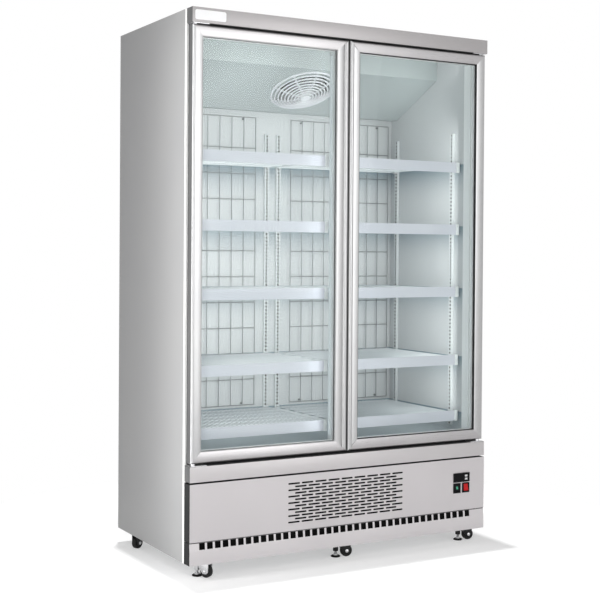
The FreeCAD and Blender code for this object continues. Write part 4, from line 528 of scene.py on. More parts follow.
def wireDeckTree():
    tree, given, out = geoTree("wireDeck", {
        "Width": ("Float", 0.5), "Depth": ("Float", 0.4), "Wires": ("Int", 20),
        "Wire Radius": ("Float", 0.002), "Rod Radius": ("Float", 0.003), "Cross Rods": ("Int", 4),
        "Corner": ("Float", 0.01), "Finish": ("Material", None)})
    width, depth = given.outputs["Width"], given.outputs["Depth"]
    wire, rod = given.outputs["Wire Radius"], given.outputs["Rod Radius"]
    halfW, halfD = putMath(tree, "MULTIPLY", width, 0.5), putMath(tree, "MULTIPLY", depth, 0.5)
    backW, backD = putMath(tree, "MULTIPLY", width, -0.5), putMath(tree, "MULTIPLY", depth, -0.5)
    both = putMath(tree, "ADD", wire, rod)
    drop = putMath(tree, "MULTIPLY", both, -0.9)  # rods are welded under the wires
    last = putMath(tree, "ADD", given.outputs["Wires"], 1.0)
    step = putMath(tree, "DIVIDE", width, last)
    first = putMath(tree, "ADD", backW, step)
    row = put(tree, "GeometryNodeMeshLine", Count=given.outputs["Wires"],
              Start_Location=putVector(tree, first), Offset=putVector(tree, step))
    along = put(tree, "GeometryNodeCurvePrimitiveLine", Start=putVector(tree, 0.0, backD),
                End=putVector(tree, 0.0, halfD))
    wires = put(tree, "GeometryNodeInstanceOnPoints", Points=row.outputs["Mesh"],
                Instance=putTube(tree, along.outputs["Curve"], wire, 6))
    gapCount = putMath(tree, "ADD", given.outputs["Cross Rods"], 1.0)
    gap = putMath(tree, "DIVIDE", depth, gapCount)
    ladder = put(tree, "GeometryNodeMeshLine", Count=given.outputs["Cross Rods"],
                 Start_Location=putVector(tree, 0.0, putMath(tree, "ADD", backD, gap), drop),
                 Offset=putVector(tree, 0.0, gap))
    across = put(tree, "GeometryNodeCurvePrimitiveLine", Start=putVector(tree, backW),
                 End=putVector(tree, halfW))
    rods = put(tree, "GeometryNodeInstanceOnPoints", Points=ladder.outputs["Mesh"],
               Instance=putTube(tree, across.outputs["Curve"], rod, 8))
    border = put(tree, "GeometryNodeCurvePrimitiveQuadrilateral", Width=width, Height=depth)
    rounded = tree.nodes.new("GeometryNodeFilletCurve")
    rounded.mode = "POLY"
    for label, value in (("Curve", border.outputs["Curve"]), ("Radius", given.outputs["Corner"]),
                         ("Count", 5)):
        feed(tree, rounded.inputs[label], value)
    rim = putTube(tree, rounded.outputs["Curve"], rod, 8)
    rimLow = put(tree, "GeometryNodeTransform", Geometry=rim, Translation=putVector(tree, 0.0, 0.0, drop))
    putFinish(tree, [wires.outputs["Instances"], rods.outputs["Instances"], rimLow.outputs["Geometry"]],
              given.outputs["Finish"], out)
    return tree


deckTree = wireDeckTree()
for node, name in (("left_shelves", "leftWireShelves"), ("right_shelves", "rightWireShelves")):
    x0, x1, y0, y1, z0, z1 = span(node)
    rod = shelfWire["rod"]
    width, depth = x1 - x0 - 2 * rod, y1 - y0 - 2 * rod
    mesh = grownMesh(deckTree, name + "Deck", {
        "Width": width, "Depth": depth, "Wires": int(width / shelfWire["pitch"]),
        "Wire Radius": shelfWire["wire"], "Rod Radius": rod, "Cross Rods": shelfWire["crossRods"],
        "Corner": shelfWire["corner"], "Finish": finish["wire"]})
    middle = (x0 + x1) / 2, (y0 + y1) / 2
    moves = [Matrix.Translation((*middle, top - shelfWire["wire"])) for top in deckTops]
    ridesFor(repeated(name, mesh, moves, finish["wire"]), "cabinet", node, slot="shelf_wire")
print("wire shelves made at", len(deckTops), "levels")


# Mullion with tapered sides, and its slim light bars

mullionShape = {"taper": 0.012, "ease": 0.003, "barStart": 0.012, "barEnd": 0.030, "barThick": 0.005,
                "barEase": 0.003, "sunk": 0.0002, "longEdge": 0.1}


def addMullion(bm):
    x0, x1, y0, y1, z0, z1 = span("centre_mullion")
    taper = mullionShape["taper"]
    addPrism(bm, [(x0, y0), (x1, y0), (x1 - taper, y1), (x0 + taper, y1)], z0, z1)
    upright = [edge for edge in bm.edges
               if abs(edge.verts[0].co.z - edge.verts[1].co.z) > mullionShape["longEdge"]]
    bmesh.ops.bevel(bm, geom=upright, offset=mullionShape["ease"], segments=4, profile=0.5, affect="EDGES")


def addLightBars(bm):
    x0, x1, y0, y1, z0, z1 = span("centre_mullion")
    barZ = span("led_light_bars")[4:]
    start, end, thick = y0 + mullionShape["barStart"], y0 + mullionShape["barEnd"], mullionShape["barThick"]
    ease, sunk = mullionShape["barEase"], mullionShape["sunk"]
    flank, crest = thick * 0.55, thick * 0.85  # where the rounding starts and turns
    shape = [(start, -sunk), (start, flank), (start + ease * 0.3, crest), (start + ease, thick)]
    shape += [(end - ease, thick), (end - ease * 0.3, crest), (end, flank), (end, -sunk)]
    for side in (-1, 1):
        outline = []
        for y, lift in shape:
            half = x1 - mullionShape["taper"] * (y - y0) / (y1 - y0)  # the side that the bar lies on
            outline.append((side * (half + lift), y))
        addPrism(bm, outline, *barZ)


dressed("mullionCase", addMullion, "mullion", "cabinet", "centre_mullion", slot="liner_sheet")
dressed("slimLightBars", addLightBars, "light", "cabinet", "led_light_bars", slot="light_diffuser")
print("mullion and light bars made")


# Slotted pilasters, with painted shade behind their slots

pilaster = {"width": 0.020, "depth": 0.010, "sheet": 0.0015, "front": 0.110, "rear": 0.052, "back": 0.027,
            "mullion": 0.013, "pitch": 0.0148, "slotWidth": 0.0090, "slotHeight": 0.0074}


def pilasterTree():  # a web with a row of slots, and two legs that stand on the wall at y = 0
    tree, given, out = geoTree("slottedPilaster", {
        "Width": ("Float", 0.02), "Depth": ("Float", 0.01), "Sheet": ("Float", 0.0015),
        "Height": ("Float", 1.1), "Slots": ("Int", 90), "Slot Width": ("Float", 0.006),
        "Slot Height": ("Float", 0.007), "Finish": ("Material", None)})
    width, depth, sheet, height = (given.outputs[name] for name in ("Width", "Depth", "Sheet", "Height"))
    slots, slotWidth, slotHeight = (given.outputs[name] for name in ("Slots", "Slot Width", "Slot Height"))
    rows = putMath(tree, "ADD", putMath(tree, "MULTIPLY", slots, 2.0), 1.0)
    pitch = putMath(tree, "DIVIDE", height, slots)
    sheetGrid = put(tree, "GeometryNodeMeshGrid", Size_X=1.0, Size_Y=1.0, Vertices_X=4,
                    Vertices_Y=putMath(tree, "ADD", rows, 1.0))
    position = put(tree, "GeometryNodeInputPosition").outputs["Position"]
    place = put(tree, "ShaderNodeSeparateXYZ", Vector=position)
    u, v = place.outputs["X"], place.outputs["Y"]
    outermost = putMath(tree, "GREATER_THAN", putMath(tree, "ABSOLUTE", u, 0.0), 0.3)
    spare = putMath(tree, "SUBTRACT", width, slotWidth)
    reach = putMath(tree, "ADD", slotWidth, putMath(tree, "MULTIPLY", outermost, spare))
    x = putMath(tree, "MULTIPLY", putMath(tree, "SIGN", u, 0.0), putMath(tree, "MULTIPLY", reach, 0.5))
    row = putMath(tree, "ROUND", putMath(tree, "MULTIPLY", putMath(tree, "ADD", v, 0.5), rows), 0.0)
    before = putMath(tree, "SUBTRACT", row, 1.0)
    number = putMath(tree, "FLOOR", putMath(tree, "MULTIPLY", before, 0.5))
    odd = putMath(tree, "FLOORED_MODULO", row, 2.0)  # lower or upper edge of a slot
    upper = putMath(tree, "SUBTRACT", 0.5, odd)
    level = putMath(tree, "MULTIPLY", putMath(tree, "ADD", number, 0.5), pitch)
    level = putMath(tree, "ADD", level, putMath(tree, "MULTIPLY", upper, slotHeight))
    z = putMath(tree, "MINIMUM", putMath(tree, "MAXIMUM", level, 0.0), height)
    front = putMath(tree, "MULTIPLY", depth, -1.0)
    web = put(tree, "GeometryNodeSetPosition", Geometry=sheetGrid.outputs["Mesh"],
              Position=putVector(tree, x, front, z))
    centred = putMath(tree, "LESS_THAN", putMath(tree, "ABSOLUTE", u, 0.0),
                      putMath(tree, "MULTIPLY", slotWidth, 0.3))
    pitches = putMath(tree, "DIVIDE", place.outputs["Z"], pitch)
    middle = putMath(tree, "SUBTRACT", putMath(tree, "FLOORED_MODULO", pitches, 1.0), 0.5)
    slotRow = putMath(tree, "LESS_THAN", putMath(tree, "ABSOLUTE", middle, 0.0), 0.1)
    cut = put(tree, "GeometryNodeDeleteGeometry", Geometry=web.outputs["Geometry"],
              Selection=putMath(tree, "MULTIPLY", centred, slotRow))
    cut.domain = "FACE"
    thick = put(tree, "GeometryNodeExtrudeMesh", Mesh=cut.outputs["Geometry"],
                Offset=putVector(tree, 0.0, sheet), Individual=False)
    legSize = putVector(tree, sheet, putMath(tree, "SUBTRACT", depth, sheet), height)
    leg = put(tree, "GeometryNodeMeshCube", Size=legSize)
    legs = []
    for side in (-0.5, 0.5):
        legX = putMath(tree, "MULTIPLY", putMath(tree, "SUBTRACT", width, sheet), side)
        legY = putMath(tree, "MULTIPLY", putMath(tree, "SUBTRACT", depth, sheet), -0.5)
        spot = putVector(tree, legX, legY, putMath(tree, "MULTIPLY", height, 0.5))
        legs.append(put(tree, "GeometryNodeTransform", Geometry=leg.outputs["Mesh"],
                        Translation=spot).outputs["Geometry"])
    putFinish(tree, [cut.outputs["Geometry"], thick.outputs["Mesh"], *legs], given.outputs["Finish"], out)
    return tree


def pilasterSeats():  # foot of each pilaster, and its turn into the cabinet
    x0, x1, y0, y1, z0, z1 = span("shelf_pilasters")
    mullionBack = span("centre_mullion")[3]
    seats = []
    for side in (-1, 1):
        for y in (faceY + pilaster["front"], y1 - pilaster["rear"]):
            seats.append(((side * x1, y, z0), -90 * side))
        seats.append(((side * pilaster["back"], y1, z0), 0))
        seats.append(((side * pilaster["mullion"], mullionBack, z0), 180))
    return [Matrix.Translation(spot) @ Matrix.Rotation(math.radians(turn), 4, "Z") for spot, turn in seats]


pilasterHeight = span("shelf_pilasters")[5] - span("shelf_pilasters")[4]
webMesh = grownMesh(pilasterTree(), "pilasterWeb", {
    "Width": pilaster["width"], "Depth": pilaster["depth"], "Sheet": pilaster["sheet"],
    "Height": pilasterHeight, "Slots": round(pilasterHeight / pilaster["pitch"]),
    "Slot Width": pilaster["slotWidth"], "Slot Height": pilaster["slotHeight"], "Finish": finish["pilaster"]})
webMesh = meshFrom("pilasterSheet", lambda bm: bm.from_mesh(webMesh), 30)
slotted = repeated("slottedPilasters", webMesh, pilasterSeats(), finish["pilaster"])
ridesFor(slotted, "cabinet", "shelf_pilasters", slot="pilaster_steel")

slotShade = {"play": 0.0002, "gap": 0.0004, "thick": 0.0015, "short": 0.002}


def addSlotShade(bm):  # dark strip just behind the slots, painted shade for the channel's inside
    half = pilaster["width"] / 2 - pilaster["sheet"] - slotShade["play"]
    behind = pilaster["sheet"] + slotShade["gap"] - pilaster["depth"]
    addBlock(bm, -half, half, behind, behind + slotShade["thick"], slotShade["short"],
             pilasterHeight - slotShade["short"])


slotShades = repeated("pilasterSlotShades", meshFrom("pilasterSlotShade", addSlotShade), pilasterSeats(),
                   finish["shadeBlack"])
ridesFor(slotShades, "cabinet", slot="pilaster_steel")
print("pilasters made, slots:", round(pilasterHeight / pilaster["pitch"]))


# End caps of the price strips

stripCap = {"width": 0.015, "proud": 0.0012, "wrap": 0.0012, "height": 0.040, "lip": 0.006, "back": 0.010,
            "round": 0.0009}


def addStripCaps(bm):
    x0, x1, y0, y1, z0, z1 = span("shelf_price_strips")
    inner = min(abs(v.co.x) for v in cad["shelf_price_strips"].data.vertices)
    for top in deckTops:
        high = top + stripCap["lip"] + stripCap["wrap"]
        low = top + stripCap["lip"] - stripCap["height"] - stripCap["wrap"]
        for side in (-1, 1):
            for near in (inner, x1 - stripCap["width"]):
                ends = sorted((side * near, side * (near + stripCap["width"])))
                addBlock(bm, *ends, y0 - stripCap["proud"], y0 + stripCap["back"], low, high,
                         stripCap["round"], 2)


dressed("stripEndCaps", addStripCaps, "lip", "cabinet", slot="white_plastic")
print("price strips capped")


# Wire grids on the back wall

wallGrid = {"wire": 0.0016, "columns": 9, "rows": 11, "topRow": 0.1233, "leg": 0.0024, "legGap": 0.009,
            "padBack": 0.003, "padFull": 0.0015}


def wallGridTree():
    tree, given, out = geoTree("wallGrid", {
        "Width": ("Float", 0.48), "Height": ("Float", 1.1), "Columns": ("Int", 9), "Rows": ("Int", 11),
        "Top Row": ("Float", 0.12), "Wire Radius": ("Float", 0.002), "Finish": ("Material", None)})
    width, height, wire = given.outputs["Width"], given.outputs["Height"], given.outputs["Wire Radius"]
    across = putMath(tree, "DIVIDE", width, given.outputs["Columns"])
    evenRows = putMath(tree, "SUBTRACT", given.outputs["Rows"], 1.0)
    upward = putMath(tree, "DIVIDE", putMath(tree, "SUBTRACT", height, given.outputs["Top Row"]), evenRows)
    behind = putMath(tree, "MULTIPLY", wire, 1.8)  # the rungs lie on the uprights
    standing = put(tree, "GeometryNodeCurvePrimitiveLine", Start=putVector(tree),
                   End=putVector(tree, 0.0, 0.0, height))
    lying = put(tree, "GeometryNodeCurvePrimitiveLine", Start=putVector(tree), End=putVector(tree, width))
    rowPoints = put(tree, "GeometryNodeMeshLine", Count=putMath(tree, "ADD", given.outputs["Columns"], 1.0),
                    Start_Location=putVector(tree), Offset=putVector(tree, across))
    columnPoints = put(tree, "GeometryNodeMeshLine", Count=given.outputs["Rows"],
                       Start_Location=putVector(tree, 0.0, behind), Offset=putVector(tree, 0.0, 0.0, upward))
    uprights = put(tree, "GeometryNodeInstanceOnPoints", Points=rowPoints.outputs["Mesh"],
                   Instance=putTube(tree, standing.outputs["Curve"], wire, 8))
    rung = putTube(tree, lying.outputs["Curve"], wire, 8)
    rungs = put(tree, "GeometryNodeInstanceOnPoints", Points=columnPoints.outputs["Mesh"], Instance=rung)
    topRung = put(tree, "GeometryNodeTransform", Geometry=rung,
                  Translation=putVector(tree, 0.0, behind, height))
    putFinish(tree, [uprights.outputs["Instances"], rungs.outputs["Instances"], topRung.outputs["Geometry"]],
              given.outputs["Finish"], out)
    return tree


gridTree = wallGridTree()
x0, x1, y0, y1, z0, z1 = span("back_wire_grids")
innerEdge = min(abs(v.co.x) for v in cad["back_wire_grids"].data.vertices)
wire = wallGrid["wire"]
gridMesh = grownMesh(gridTree, "wallGridMesh", {
    "Width": x1 - innerEdge - 2 * wire, "Height": z1 - z0 - 2 * wire, "Columns": wallGrid["columns"],
    "Rows": wallGrid["rows"], "Top Row": wallGrid["topRow"], "Wire Radius": wire,
    "Finish": finish["gridWire"]})


def addGridLegs(bm):  # short legs that hold the grid off the wall
    column = (x1 - innerEdge - 2 * wire) / wallGrid["columns"]
    radius, deep = wallGrid["leg"], y1 - y0
    profile = [(0, 0), (radius, 0), (radius, deep - wallGrid["padBack"]),
               (radius * 2, deep - wallGrid["padFull"]), (radius * 2, deep - wire), (0, deep - wire)]
    turn = Matrix.Rotation(-math.pi / 2, 4, "X")
    for side in (-1, 1):
        for edge in (innerEdge + wire + column, x1 - wire - column):
            for height in (z0 + wallGrid["legGap"], z1 - wallGrid["legGap"]):
                place = Matrix.Translation((side * edge, y0 + wire, height)) @ turn
                addLathe(bm, profile, place, 12)


gridSpots = [Matrix.Translation((x, y0 + wire, z0 + wire)) for x in (innerEdge + wire, -x1 + wire)]
grids = repeated("backWireGrids", gridMesh, gridSpots, finish["gridWire"])
ridesFor(grids, "cabinet", "back_wire_grids", slot="shelf_wire")
dressed("gridLegs", addGridLegs, "gridWire", "cabinet", slot="shelf_wire")
print("back grids made")


# Domed fan guard

guard = {"rings": 10, "hub": 0.018, "wire": 0.0034, "spokes": 4, "rim": 0.007, "dome": 0.034, "inside": 0.004,
         "seat": 0.0015, "sink": 0.003, "ease": 0.002, "capRise": 0.0012, "capCrown": 0.0016}
flange = {"foot": 0.0005, "wall": 0.004, "crest": 0.0055, "round": 0.003, "edge": 0.0035}


def fanGuardTree():
    tree, given, out = geoTree("fanGuard", {
        "Radius": ("Float", 0.11), "Hub": ("Float", 0.015), "Rings": ("Int", 12), "Spokes": ("Int", 4),
        "Dome": ("Float", 0.025), "Wire Radius": ("Float", 0.0012), "Finish": ("Material", None)})
    radius, hub, wire, dome = (given.outputs[name] for name in ("Radius", "Hub", "Wire Radius", "Dome"))
    index = tree.nodes.new("GeometryNodeInputIndex").outputs["Index"]
    gap = putMath(tree, "DIVIDE", putMath(tree, "SUBTRACT", radius, hub),
                  putMath(tree, "SUBTRACT", given.outputs["Rings"], 1.0))
    size = putMath(tree, "ADD", hub, putMath(tree, "MULTIPLY", gap, index))

    def drop(distance):  # depth of the dome at a distance from its axis
        share = putMath(tree, "POWER", putMath(tree, "DIVIDE", distance, radius), 2.0)
        return putMath(tree, "MULTIPLY", putMath(tree, "SUBTRACT", share, 1.0), dome)

    points = put(tree, "GeometryNodeMeshLine", Count=given.outputs["Rings"], Offset=putVector(tree))
    lowered = put(tree, "GeometryNodeSetPosition", Geometry=points.outputs["Mesh"],
                  Position=putVector(tree, 0.0, 0.0, drop(size)))
    circle = put(tree, "GeometryNodeCurvePrimitiveCircle", Resolution=48, Radius=1.0)
    rings = put(tree, "GeometryNodeInstanceOnPoints", Points=lowered.outputs["Geometry"],
                Instance=circle.outputs["Curve"], Scale=putVector(tree, size, size, 1.0))
    loops = put(tree, "GeometryNodeRealizeInstances", Geometry=rings.outputs["Instances"])
    ringMesh = putTube(tree, loops.outputs["Geometry"], wire, 6)
    spokeStart = putVector(tree, putMath(tree, "MULTIPLY", radius, -1.0))
    line = put(tree, "GeometryNodeCurvePrimitiveLine", Start=spokeStart, End=putVector(tree, radius))
    fine = put(tree, "GeometryNodeResampleCurve", Curve=line.outputs["Curve"], Count=25)
    place = tree.nodes.new("GeometryNodeInputPosition")
    split = put(tree, "ShaderNodeSeparateXYZ", Vector=place.outputs["Position"])
    across = putMath(tree, "ABSOLUTE", split.outputs["X"], 0.0)
    lift = putMath(tree, "ADD", drop(across), putMath(tree, "MULTIPLY", wire, 1.7))
    bent = put(tree, "GeometryNodeSetPosition", Geometry=fine.outputs["Curve"],
               Position=putVector(tree, split.outputs["X"], 0.0, lift))
    spoke = putTube(tree, bent.outputs["Geometry"], putMath(tree, "MULTIPLY", wire, 1.15), 6)
    hubs = put(tree, "GeometryNodeMeshLine", Count=given.outputs["Spokes"], Offset=putVector(tree))
    turn = putMath(tree, "DIVIDE", putMath(tree, "MULTIPLY", index, math.pi), given.outputs["Spokes"])
    spokes = put(tree, "GeometryNodeInstanceOnPoints", Points=hubs.outputs["Mesh"], Instance=spoke,
                 Rotation=putVector(tree, 0.0, 0.0, turn))
    putFinish(tree, [ringMesh, spokes.outputs["Instances"]], given.outputs["Finish"], out)
    return tree


fanJoint = jointOf["evaporator_fan"]
slopeAxis = Vector(fanJoint["axis"]).normalized()
slopeFoot = Matrix.Translation(Vector(fanJoint["pos_m"]) - slopeAxis * guard["seat"])
slopePlace = slopeFoot @ Vector((0, 0, 1)).rotation_difference(slopeAxis).to_matrix().to_4x4()
guardX0, guardX1 = span("fan_guard")[:2]
guardRadius = (guardX1 - guardX0) / 2
guardMesh = grownMesh(fanGuardTree(), "fanGuardWires", {
    "Radius": guardRadius - guard["inside"], "Hub": guard["hub"], "Rings": guard["rings"],
    "Spokes": guard["spokes"], "Dome": guard["dome"], "Wire Radius": guard["wire"],
    "Finish": finish["guardWire"]})
guardMesh.transform(slopePlace @ Matrix.Translation((0, 0, -guard["sink"])))
guardMesh.materials.clear()
guardWires = newPiece("fanGuardWires", guardMesh, finish["guardWire"])
ridesFor(guardWires, "cabinet", "fan_guard", slot="white_plastic")


def addGuardRim(bm):  # flat flange of the guard and its centre cap
    inner, hub, ease = guardRadius - guard["rim"], guard["hub"], guard["ease"]
    rim = [(inner, -flange["foot"]), (inner, -flange["wall"]), (inner + ease, -flange["crest"]),
           (guardRadius - flange["round"], -flange["crest"]), (guardRadius, -flange["edge"]),
           (guardRadius, -flange["foot"])]
    addLathe(bm, rim, slopePlace, 64, closed=True)
    low = -guard["sink"] - guard["dome"]
    cap = [(0, low + ease), (hub + ease, low + ease), (hub + ease, low), (hub - ease, low - guard["capRise"]),
           (0, low - guard["capCrown"])]
    addLathe(bm, cap, slopePlace, 32)


dressed("fanGuardRim", addGuardRim, "guardWire", "cabinet", slot="white_plastic")
print("fan guard made")


# Doors

doorBar = {"bar": 0.039, "pull": 0.046, "grip": 0.020, "thick": 0.034, "lip": 0.030, "glass": 0.021,
           "rebate": 0.009, "corner": 0.009, "crown": 0.038, "ease": 0.0008}
nose = {"flat": 0.0035, "turn": 0.001, "drop": 0.0018, "rise": 0.0004}  # edge of the bars beside the glass
pullFoot = {"out": 0.0012, "rise": 0.0002, "drop": 0.0005}  # where the pull runs into its flat
doorRing = {"spacerIn": 0.0041, "beadOut": 0.0005, "gasketIn": 0.016, "gasketGap": 0.0003, "lipIn": 0.0302,
            "lipGap": 0.0004}
ringPoints = {  # inset from the ring's box, plane that the depth is taken from, and depth
    "GlazingBead": [(-0.0002, "pane", -0.0012), (0.0013, "pane", -0.0012), (0.0016, "pane", -0.0022),
                    (0.0012, "lip", 0.0020), (-0.0002, "lip", 0.0012)],
    "BeadFoot": [(-0.0002, "pane", 0), (0.0027, "pane", 0), (0.0022, "pane", -0.0011),
                 (0.0010, "pane", -0.0013), (-0.0002, "pane", -0.0013)],
    "GlassSpacer": [(0.0005, "front", 0), (0.0126, "front", 0), (0.0132, "front", 0.001),
                    (0.0132, "back", -0.001), (0.0126, "back", 0), (0.0005, "back", 0)],
    "InnerBead": [(0.0, "inside", 0.0003), (0.0078, "inside", 0.0003), (0.0086, "inside", 0.0012),
                  (0.0060, "rear", -0.0008), (0.0052, "rear", 0), (0.0, "rear", 0)],
    "ThroatLip": [(0.0, "rear", 0), (0.0, "seat", 0), (0.0060, "seat", 0), (0.0072, "fold", 0),
                  (0.0072, "rear", 0.0008), (0.0064, "rear", 0)],
}
gasketPoints = [  # inset, and share of the gap that it fills: foot, folded neck, flat sealing face
    (0.0, 0), (0.0, 0.25), (0.0025, 0.42), (0.0008, 0.62), (0.0010, 0.92), (0.0022, 1), (0.0118, 1),
    (0.0130, 0.92), (0.0132, 0.62), (0.0115, 0.42), (0.0140, 0.25), (0.0140, 0)]


def arcPoints(cx, cy, radius, start, end, steps):
    angles = [math.radians(start + (end - start) * i / steps) for i in range(steps + 1)]
    return [(cx + radius * math.cos(angle), cy + radius * math.sin(angle)) for angle in angles]


def barProfile(width, front):  # u from the outer edge, d from the back of the door; front holds the face
    d = doorBar
    rebate = width - d["rebate"]
    inner = [(width, d["lip"] - nose["drop"]), (width, d["glass"]), (rebate, d["glass"]), (rebate, 0)]
    return [(d["ease"], 0), (0, d["ease"]), *front, *inner]


def railProfile():
    d = doorBar
    face = arcPoints(d["corner"], d["thick"] - d["corner"], d["corner"], 180, 92, 10)
    face += [(d["bar"] - nose["flat"], d["lip"] + nose["rise"]),
             (d["bar"] - nose["turn"], d["lip"] - nose["rise"])]
    return barProfile(d["bar"], face)


def pullProfile():
    d = doorBar
    half = d["grip"] / 2
    rise = d["crown"] - d["lip"]
    radius = (half * half + rise * rise) / (2 * rise)
    reach = math.degrees(math.asin(half / radius))
    face = arcPoints(half, d["crown"] - radius, radius, 90 + reach, 90 - reach, 16)
    face += [(d["grip"] + pullFoot["out"], d["lip"] + pullFoot["rise"]), (d["pull"] - nose["flat"], d["lip"]),
             (d["pull"] - nose["turn"], d["lip"] - pullFoot["drop"])]
    return barProfile(d["pull"], face)


def makeDoor(side, label):
    node = label + "_door_frame"
    x0, x1, y0, y1, z0, z1 = span(node)
    outer, meeting = (x0, x1) if side < 0 else (x1, x0)
    tall, wide = z1 - z0, x1 - x0
    skew = doorBar["bar"] / doorBar["pull"]

    def build(bm):
        rail, pull = railProfile(), pullProfile()
        addBar(bm, rail, lambda u, d, s: Vector((outer - side * u, y1 - d, z0 + s)), tall, 1, 1, 0, 3)
        addBar(bm, pull, lambda u, d, s: Vector((meeting + side * u, y1 - d, z0 + s)), tall, skew, skew, 0, 2)
        addBar(bm, rail, lambda u, d, s: Vector((outer - side * s, y1 - d, z1 - u)), wide, 1, 1 / skew, 1)
        addBar(bm, rail, lambda u, d, s: Vector((outer - side * s, y1 - d, z0 + u)), wide, 1, 1 / skew, 1)

    bars = meshFrom(label + "DoorBars", build, 28, weld=False)
    bars = newPiece(label + "DoorBars", bars, [finish["frameUp"], finish["frameAcross"], finish["shadeGrey"]])
    ridesFor(bars, label + "_door", node, slot="frame_aluminium")

    left, right = sorted((outer - side * doorBar["bar"], meeting + side * doorBar["pull"]))
    sight = (left, right, z0 + doorBar["bar"], z1 - doorBar["bar"])  # opening that the glass shows in
    glassX0, glassX1, glassY0, glassY1, glassZ0, glassZ1 = span(label + "_door_glass")
    glass = (glassX0, glassX1, glassZ0, glassZ1)
    gap = faceY - y1  # between the door and the cabinet
    lipDepth = gap - doorRing["lipGap"]
    planes = {"pane": y1 - doorBar["glass"], "lip": y1 - doorBar["lip"], "inside": glassY1, "rear": y1,
              "front": glassY0 + doorRing["spacerIn"], "back": glassY1 - doorRing["spacerIn"],
              "seat": y1 + lipDepth, "fold": y1 + lipDepth * 0.9}

    def within(box, inset):
        return box[0] + inset, box[1] - inset, box[2] + inset, box[3] - inset

    def ring(name, key, box, *stoodFor, profile=None, slot="seal_rubber"):
        points = profile or [(inset, planes[plane] + depth) for inset, plane, depth in ringPoints[name]]
        dressed(label + name, lambda bm: addRing(bm, *box, points), key, label + "_door", *stoodFor,
                slot=slot)

    door = (x0, x1, z0, z1)
    sealDepth = gap - doorRing["gasketGap"]
    ring("GlazingBead", "gasket" if side < 0 else "rubber", sight)  # black rubber on the right door; painted pale on the left door as painted light
    ring("BeadFoot", "rubber", sight)  # thin black foot on the glass
    ring("GlassSpacer", "spacer", glass, label + "_door_seals")
    ring("InnerBead", "lip", within(glass, -doorRing["beadOut"]), slot="frame_aluminium")
    ring("DoorGasket", "gasket", within(door, doorRing["gasketIn"]),
         profile=[(inset, y1 + sealDepth * share) for inset, share in gasketPoints])
    ring("ThroatLip", "lip", within(door, doorRing["lipIn"]))  # pale inner lip, next to the glass


makeDoor(-1, "left")
makeDoor(1, "right")
print("doors dressed")


# Front panels with eased edges, blank badge

seamZ = span("kick_plate")[5]  # joint of the service panel and the kick plate
seam = {"below": 0.0015, "above": 0.0028, "shade": (0.09, 0.088, 0.09)}
seamBand = [([(2, seamZ - seam["below"], seamZ + seam["above"])], seam["shade"])]
finish["seamed"] = surface("seamedFinish", {**looks["panel"], "bands": seamBand})
kickPaintedLight = {"color": (0.575, 0.55, 0.56), "second": (0.61, 0.585, 0.595)}  # painted paler than the service panel, as painted light: it leans back and catches more light
finish["kick"] = surface("kickFinish", {**looks["panel"], **kickPaintedLight, "bands": seamBand})
frontCases = {  # name, finish, finish of painted shade for the ends, eased edge, and sides (-1 down, 1 up) that take that painted shade too
    "header_canopy": ("headerCase", "header", "shadeGrey", 0.0005, (-1,)),
    "lower_rail": ("railCase", "rail", "shadeGrey", 0.0005, (-1, 1)),
    "front_service_panel": ("serviceCase", "seamed", "shadeBlack", 0.0, (-1, 1)),
    "kick_plate": ("kickSheet", "kick", "shadeBlack", 0.0, (1,)),
}
for node, (name, key, shadeKey, width, hidden) in frontCases.items():
    case = softenedCopy(node, name, width, [finish[key], finish[shadeKey]], hidden=hidden)
    ridesFor(case, "cabinet", node, slot="trim_paint")

dustFilter = {"reach": 0.275, "margin": 0.016, "gap": 0.003, "thick": 0.003, "rim": 0.004,
              "panelBack": 0.0013, "kickLow": 0.046, "kickHigh": 0.0014, "kickBack": 0.0044}


def addFilter(bm, x0, x1, z0, z1, setback):  # dark foam sheet with a rim that rests on the sheet metal
    front = frontY + setback
    back = front + dustFilter["gap"]
    addBlock(bm, x0, x1, back, back + dustFilter["thick"], z0, z1)
    rim = dustFilter["rim"]
    addRing(bm, x0, x1, z0, z1, [(0, front), (rim, front), (rim, back), (0, back)])


def addFilters(bm):
    x0, x1, y0, y1, z0, z1 = span("front_service_panel")
    margin = dustFilter["margin"]
    addFilter(bm, -dustFilter["reach"], dustFilter["reach"], z0 + margin, z1 - margin,
              dustFilter["panelBack"])
    x0, x1, y0, y1, z0, z1 = span("kick_plate")
    addFilter(bm, x0 + margin, x1 - margin, z0 + dustFilter["kickLow"], z1 - dustFilter["kickHigh"],
              dustFilter["kickBack"])


dressed("dustFilters", addFilters, "filter", "cabinet", slot="black_plastic")

badge = {"left": 0.010, "low": 0.009, "width": 0.117, "height": 0.034, "thick": 0.0012, "round": 0.007,
         "ease": 0.0006}


def addBadge(bm):  # blank plate on the header
    x0 = -halfWidth + badge["left"]
    z0 = span("header_canopy")[4] + badge["low"]
    x1, z1 = x0 + badge["width"], z0 + badge["height"]
    r = badge["round"]
    outline = []
    for cx, cz, start in ((x1 - r, z1 - r, 0), (x0 + r, z1 - r, 90), (x0 + r, z0 + r, 180),
                          (x1 - r, z0 + r, 270)):
        outline += arcPoints(cx, cz, r, start, start + 90, 6)
    middle = Vector(((x0 + x1) / 2, 0, (z0 + z1) / 2))
    loops = []
    for depth, shrink in ((0.0, 0.0), (badge["thick"] * 0.6, 0.0), (badge["thick"], badge["ease"])):
        loop = []
        for x, z in outline:
            toward = (middle - Vector((x, 0, z))).normalized() * shrink
            loop.append(bm.verts.new((x + toward.x, frontY - depth, z + toward.z)))
        loops.append(loop)
    for a, b in zip(loops, loops[1:]):
        addSkin(bm, a, b)
    bm.faces.new(loops[-1])
    bm.faces.new(list(reversed(loops[0])))


dressed("blankBadge", addBadge, "badge", "cabinet", slot="white_plastic")
print("front panels dressed")


# Thermostat and switches

